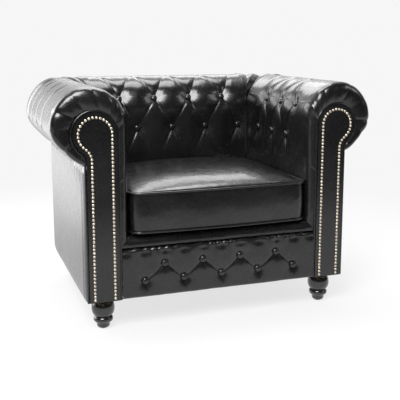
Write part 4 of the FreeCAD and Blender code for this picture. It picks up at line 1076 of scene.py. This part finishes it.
class SewCushion(bpy.types.Operator):
    """The crowned leather case of the loose seat cushion"""

    bl_idname = "chesterfield.sew_cushion"
    bl_label = "Sew cushion"

    def execute(self, context):
        sizes = context.scene.chesterfield_sizes
        low, high = node_box("cushion_case")
        base, shoulder = low[2], low[2] + sizes.boxing
        plan = self.plan(low, high)
        middle = np.array([0.0, (low[1] + high[1]) / 2])
        half = np.array([(high[0] - low[0]) / 2, (high[1] - low[1]) / 2])
        wall = np.linspace(0.0, 1.0, WALL_RINGS)[1:-1]
        under = np.linspace(0.0, 1.0, UNDER_RINGS)[1:]
        over = np.linspace(1.0, 0.0, TOP_RINGS)
        spread = np.concatenate([under, np.ones(len(wall)), over])[:, None]
        level = np.concatenate([
            np.full(len(under), base), base + (shoulder - base) * wall,
            np.full(len(over), shoulder)])[:, None]
        side = np.concatenate([
            np.zeros(len(under)), np.sin(math.pi * wall), np.zeros(len(over))])[:, None]
        top = (np.arange(len(level)) >= len(under) + len(wall))[:, None]
        x, y = (plan - middle).T
        across, along = np.abs(x * spread / half[0]), np.abs(y * spread / half[1])
        edge = (1.0 - across ** CROWN_SQUARENESS) * (1.0 - along ** CROWN_SQUARENESS)
        edge = np.clip(edge, 0.0, 1.0)
        crown = np.where(top, (high[2] - shoulder) * edge ** CROWN_FULLNESS, 0.0)
        points = sheet_points(x * spread + middle[0], y * spread + middle[1], level + crown)
        normals = surface_normals(np.concatenate([points, points[:, :1]], axis=1))[:, :-1]
        normals *= np.sign(np.sum(normals[top[:, 0]][..., 2]))
        height = side * (WALL_SWELL + uneven(points, (11.0, 12, 0.0016)))
        height = height + top * edge * uneven(points, (6.0, 13, 0.003), (19.0, 14, 0.0008))
        height = height + uneven(points, (60.0, 15, 0.00025))
        upholstered("cushion_cover", points, normals, height, "cushion_case", body="cushion",
                    closed=True)
        return {"FINISHED"}

    def plan(self, low, high):
        """Outline of the cushion from above: bowed front and rounded corners."""
        half, bow, corner = high[0], CUSHION_BOW, CUSHION_CORNER
        bow_radius = (half * half + bow * bow) / (bow * 2)
        centre_y = low[1] + bow_radius
        reach = half - corner
        drop = math.sqrt((bow_radius - corner) ** 2 - reach ** 2)
        tilt = math.atan2(reach, drop)
        sweep = np.linspace(-tilt, tilt, FRONT_POINTS)
        pieces = [np.stack([bow_radius * np.sin(sweep), centre_y - bow_radius * np.cos(sweep)], axis=-1)]
        bends = (
            (reach, centre_y - drop, -math.pi / 2 + tilt, 0.0),
            (reach, high[1] - corner, 0.0, math.pi / 2),
            (-reach, high[1] - corner, math.pi / 2, math.pi),
            (-reach, centre_y - drop, math.pi, math.pi * 1.5 - tilt))
        arcs = []
        for x, y, begin, end in bends:
            turn = np.linspace(begin, end, CORNER_POINTS)
            arcs.append(np.stack([x + corner * np.cos(turn), y + corner * np.sin(turn)], axis=-1))
        share = np.linspace(0.0, 1.0, SIDE_POINTS)[1:-1, None]
        for arc, following in zip(arcs, arcs[1:]):
            pieces += [arc, arc[-1] + (following[0] - arc[-1]) * share]
        outline = np.concatenate([*pieces, arcs[-1]])
        keep = np.hypot(*(outline - np.roll(outline, 1, axis=0)).T) > 1e-6
        return outline[keep]


DECK_CUTS = 47
DECK_TAPER = 0.008
DECK_EDGE_DROP = 0.2
DECK_RIPPLE = 0.06


class CoverDeck(bpy.types.Operator):
    """Black cloth pulled over the foam of the seat deck, under the cushion"""

    bl_idname = "chesterfield.cover_deck"
    bl_label = "Cover deck"

    def execute(self, context):
        low, high = node_box("deck_pad")
        middle, half = (low + high) / 2, (high - low) / 2
        shape = bmesh.new()
        bmesh.ops.create_cube(shape, size=2.0)
        bmesh.ops.subdivide_edges(shape, edges=list(shape.edges), cuts=DECK_CUTS, use_grid_fill=True)
        for corner in shape.verts:
            x, y, z = corner.co
            edge = max(abs(x), abs(y))
            ripple = noise.noise(Vector((x * 3.0, y * 3.0, z))) * 0.5 + 0.5
            x *= 1.0 - DECK_TAPER * abs(z) ** 6
            y *= 1.0 - DECK_TAPER * abs(z) ** 6
            z *= 1.0 - DECK_EDGE_DROP * edge ** 14 - DECK_RIPPLE * ripple * (1.0 - edge ** 8)
            corner.co = Vector(middle + half * np.array((x, y, z)))
        mesh = bpy.data.meshes.new("deck_cover")
        shape.to_mesh(mesh)
        shape.free()
        cover = mesh_object("deck_cover", mesh, "black_cloth")
        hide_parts("deck_pad")
        return {"FINISHED"}


FRAME_FINISHES = {
    "plywood": ("arm_stump", "arm_former", "back_former", "corner_blocks"),
    "frame_timber": (
        "arm_top_rail", "arm_tack_rail", "back_top_rail", "front_rail", "back_rail", "side_rail",
        "rear_post"),
    "hardboard": ("arm_lining", "back_lining"),
    "facing_leather": ("arm_facing", "facing_welt"),
    "black_cloth": ("dust_cover", "deck_cloth"),
    "black_wood": ("rear_foot",),
    "zinc_steel": ("foot_plates", "foot_bolts", "foot_nuts", "spring_clips"),
    "glide_plastic": ("foot_glides",),
    "spring_steel": ("seat_springs",),
    "foam": ("cushion_foam",),
    "button_leather": ("cushion_welt",),
    "zip_tape": ("cushion_zip",),
    "zip_metal": ("zip_slider",),
}


class FinishFrame(bpy.types.Operator):
    """Timber, steel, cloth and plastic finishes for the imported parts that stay"""

    bl_idname = "chesterfield.finish_frame"
    bl_label = "Finish frame"

    def execute(self, context):
        for name, node in frame["nodes"].items():
            for material, starts in FRAME_FINISHES.items():
                if name.startswith(starts):
                    node.material_slots[0].material = finishes()[material]
        return {"FINISHED"}


# Name, place, target, width, height and watts of each soft lamp.
LAMPS = (
    ("key_softbox", (-1.35, -2.1, 2.6), (0.0, -0.1, 0.55), 1.6, 1.9, 150.0),
    ("side_softbox", (-2.2, 1.9, 1.1), (-0.4, 0.0, 0.4), 2.4, 2.2, 60.0),
    ("fill_softbox", (2.3, -1.4, 1.7), (0.1, 0.0, 0.5), 0.9, 0.9, 9.0),
    ("top_softbox", (0.1, 0.5, 2.6), (0.0, 0.0, 0.5), 1.5, 1.2, 42.0),
    ("rear_softbox", (0.7, 2.7, 2.35), (0.0, -0.2, 0.45), 2.2, 1.1, 24.0),
)
CAMERA_PLACE = (-0.768, -2.307, 0.828)
CAMERA_TARGET = (-0.071, -0.344, 0.473)
CAMERA_LENS = 66.05
CAMERA_SHIFT = -0.0875
FLOOR_REACH = 9


class BuildStudio(bpy.types.Operator):
    """Pale floor and background, soft lamps and the camera"""

    bl_idname = "chesterfield.build_studio"
    bl_label = "Build studio"

    def execute(self, context):
        scene = context.scene
        scene.view_settings.view_transform = "Standard"
        colours = scene.chesterfield_colours
        studio = tuple(colours.studio)

        world = Finish(bpy.data.worlds.new("studio_world"))
        behind = world.axis(world.place("Generated"), 1).ramp(-0.05, 0.4)
        camera_ray = world.node("ShaderNodeLightPath", {}, {}, "Is Camera Ray")
        shown = world.mix(camera_ray, world.mix(behind, (0.04, 0.04, 0.042), studio), studio)
        background = world.node("ShaderNodeBackground", {}, {"Color": shown, "Strength": 1.0})
        scene.world = world.finished(background)

        mesh = bpy.data.meshes.new("floor")
        reach = FLOOR_REACH
        corners = [(-reach, -reach, 0), (reach, -reach, 0), (reach, reach, 0), (-reach, reach, 0)]
        mesh.from_pydata(corners, [], [(0, 1, 2, 3)])
        floor = bpy.data.objects.new("floor", mesh)
        scene.collection.objects.link(floor)
        mesh.materials.append(self.paper(studio))

        for lamp in LAMPS:
            self.hang(scene, *lamp)
        self.aim(scene)
        return {"FINISHED"}

    def paper(self, studio):
        """Pale floor: white to the camera, with a little diffuse shading near the chair. In reflections
        it is white, with painted reflections: dark in front of the chair and a patch glowing at twice
        white beside its left.
        """
        paper = Finish(bpy.data.materials.new("floor_paper"))
        light_path = paper.made("ShaderNodeLightPath", {}, {})
        seen, glossy, passed = [
            Value(paper, light_path.outputs[name])
            for name in ("Is Camera Ray", "Is Glossy Ray", "Is Transmission Ray")]
        place = paper.node("ShaderNodeNewGeometry", {}, {}, "Position")
        forward = paper.axis(place, 1)
        aside = -1.0 * paper.axis(place, 0)
        distance = paper.node("ShaderNodeVectorMath", {"operation": "LENGTH"}, {0: place}, "Value")
        near = 1.0 - distance.ramp(0.7, 2.2)
        # Painted reflection: in reflections the floor turns dark in front of the chair, and glows at
        # twice white behind and left of it, where the left outside panel reflects it.
        lit = forward.ramp(-2.2, -1.1) * 0.95 + 0.05
        painted_glow_beside = forward.ramp(0.3, 1.3) * aside.ramp(0.45, 0.8) * (1.0 - aside.ramp(1.2, 1.7))
        grain = paper.noise(paper.place(), 60.0)
        mottled = paper.mix(grain, studio, (0.9, 0.9, 0.9))
        matt = paper.node("ShaderNodeBsdfDiffuse", {}, {"Color": mottled})
        white = paper.glow(studio)
        painted_reflection = paper.blend(lit, paper.glow((0.05, 0.05, 0.05)), white)
        # Painted glow: a floor patch brighter than white, seen only in reflections, that lights up the
        # left panel's reflection.
        painted_reflection = paper.blend(painted_glow_beside, painted_reflection, paper.glow(studio, 2.0))
        bounced = paper.blend((glossy + passed).clamped(), matt, painted_reflection)
        return paper.finished(paper.blend(seen, bounced, paper.blend(near * 0.2, white, matt)))

    def hang(self, scene, name, place, target, width, height, watts):
        """A soft lamp that the camera doesn't see."""
        light = bpy.data.lights.new(name, "AREA")
        light.shape = "RECTANGLE"
        light.size = width
        light.size_y = height
        light.energy = watts
        lamp = bpy.data.objects.new(name, light)
        lamp.location = place
        lamp.rotation_euler = (Vector(target) - Vector(place)).to_track_quat("-Z", "Y").to_euler()
        lamp.visible_camera = False
        scene.collection.objects.link(lamp)

    def aim(self, scene):
        """The camera of the photograph."""
        camera = bpy.data.objects.new("camera", bpy.data.cameras.new("camera"))
        camera.location = CAMERA_PLACE
        aim = Vector(CAMERA_TARGET) - camera.location
        camera.rotation_euler = aim.to_track_quat("-Z", "Y").to_euler()
        camera.data.sensor_width = 36
        camera.data.lens = CAMERA_LENS
        camera.data.shift_y = CAMERA_SHIFT
        camera.data.dof.use_dof = False
        scene.collection.objects.link(camera)
        scene.camera = camera


OPERATORS = (
    BuildStudio,
    FinishFrame,
    UpholsterArms,
    UpholsterBack,
    CoverButtons,
    TurnFeet,
    TrimFacings,
    CoverPanels,
    DressFront,
    SewCushion,
    CoverDeck,
)


class ChesterfieldPanel(bpy.types.Panel):
    """Buttons that build the armchair piece by piece"""

    bl_idname = "VIEW3D_PT_chesterfield"
    bl_label = "Chesterfield"
    bl_space_type = "VIEW_3D"
    bl_region_type = "UI"
    bl_category = "Chesterfield"

    def draw(self, context):
        for operator in OPERATORS:
            self.layout.operator(operator.bl_idname)


CLASSES = (ChesterfieldSizes, ChesterfieldColours, *OPERATORS, ChesterfieldPanel)


def register():
    for part in CLASSES:
        bpy.utils.register_class(part)
    bpy.types.Scene.chesterfield_sizes = PointerProperty(type=ChesterfieldSizes)
    bpy.types.Scene.chesterfield_colours = PointerProperty(type=ChesterfieldColours)


def unregister():
    del bpy.types.Scene.chesterfield_colours
    del bpy.types.Scene.chesterfield_sizes
    for part in reversed(CLASSES):
        bpy.utils.unregister_class(part)


def main():
    register()
    for operator in OPERATORS:
        family, name = operator.bl_idname.split(".")
        getattr(getattr(bpy.ops, family), name)()
    bpy.context.view_layer.update()


if __name__ == "__main__":
    main()
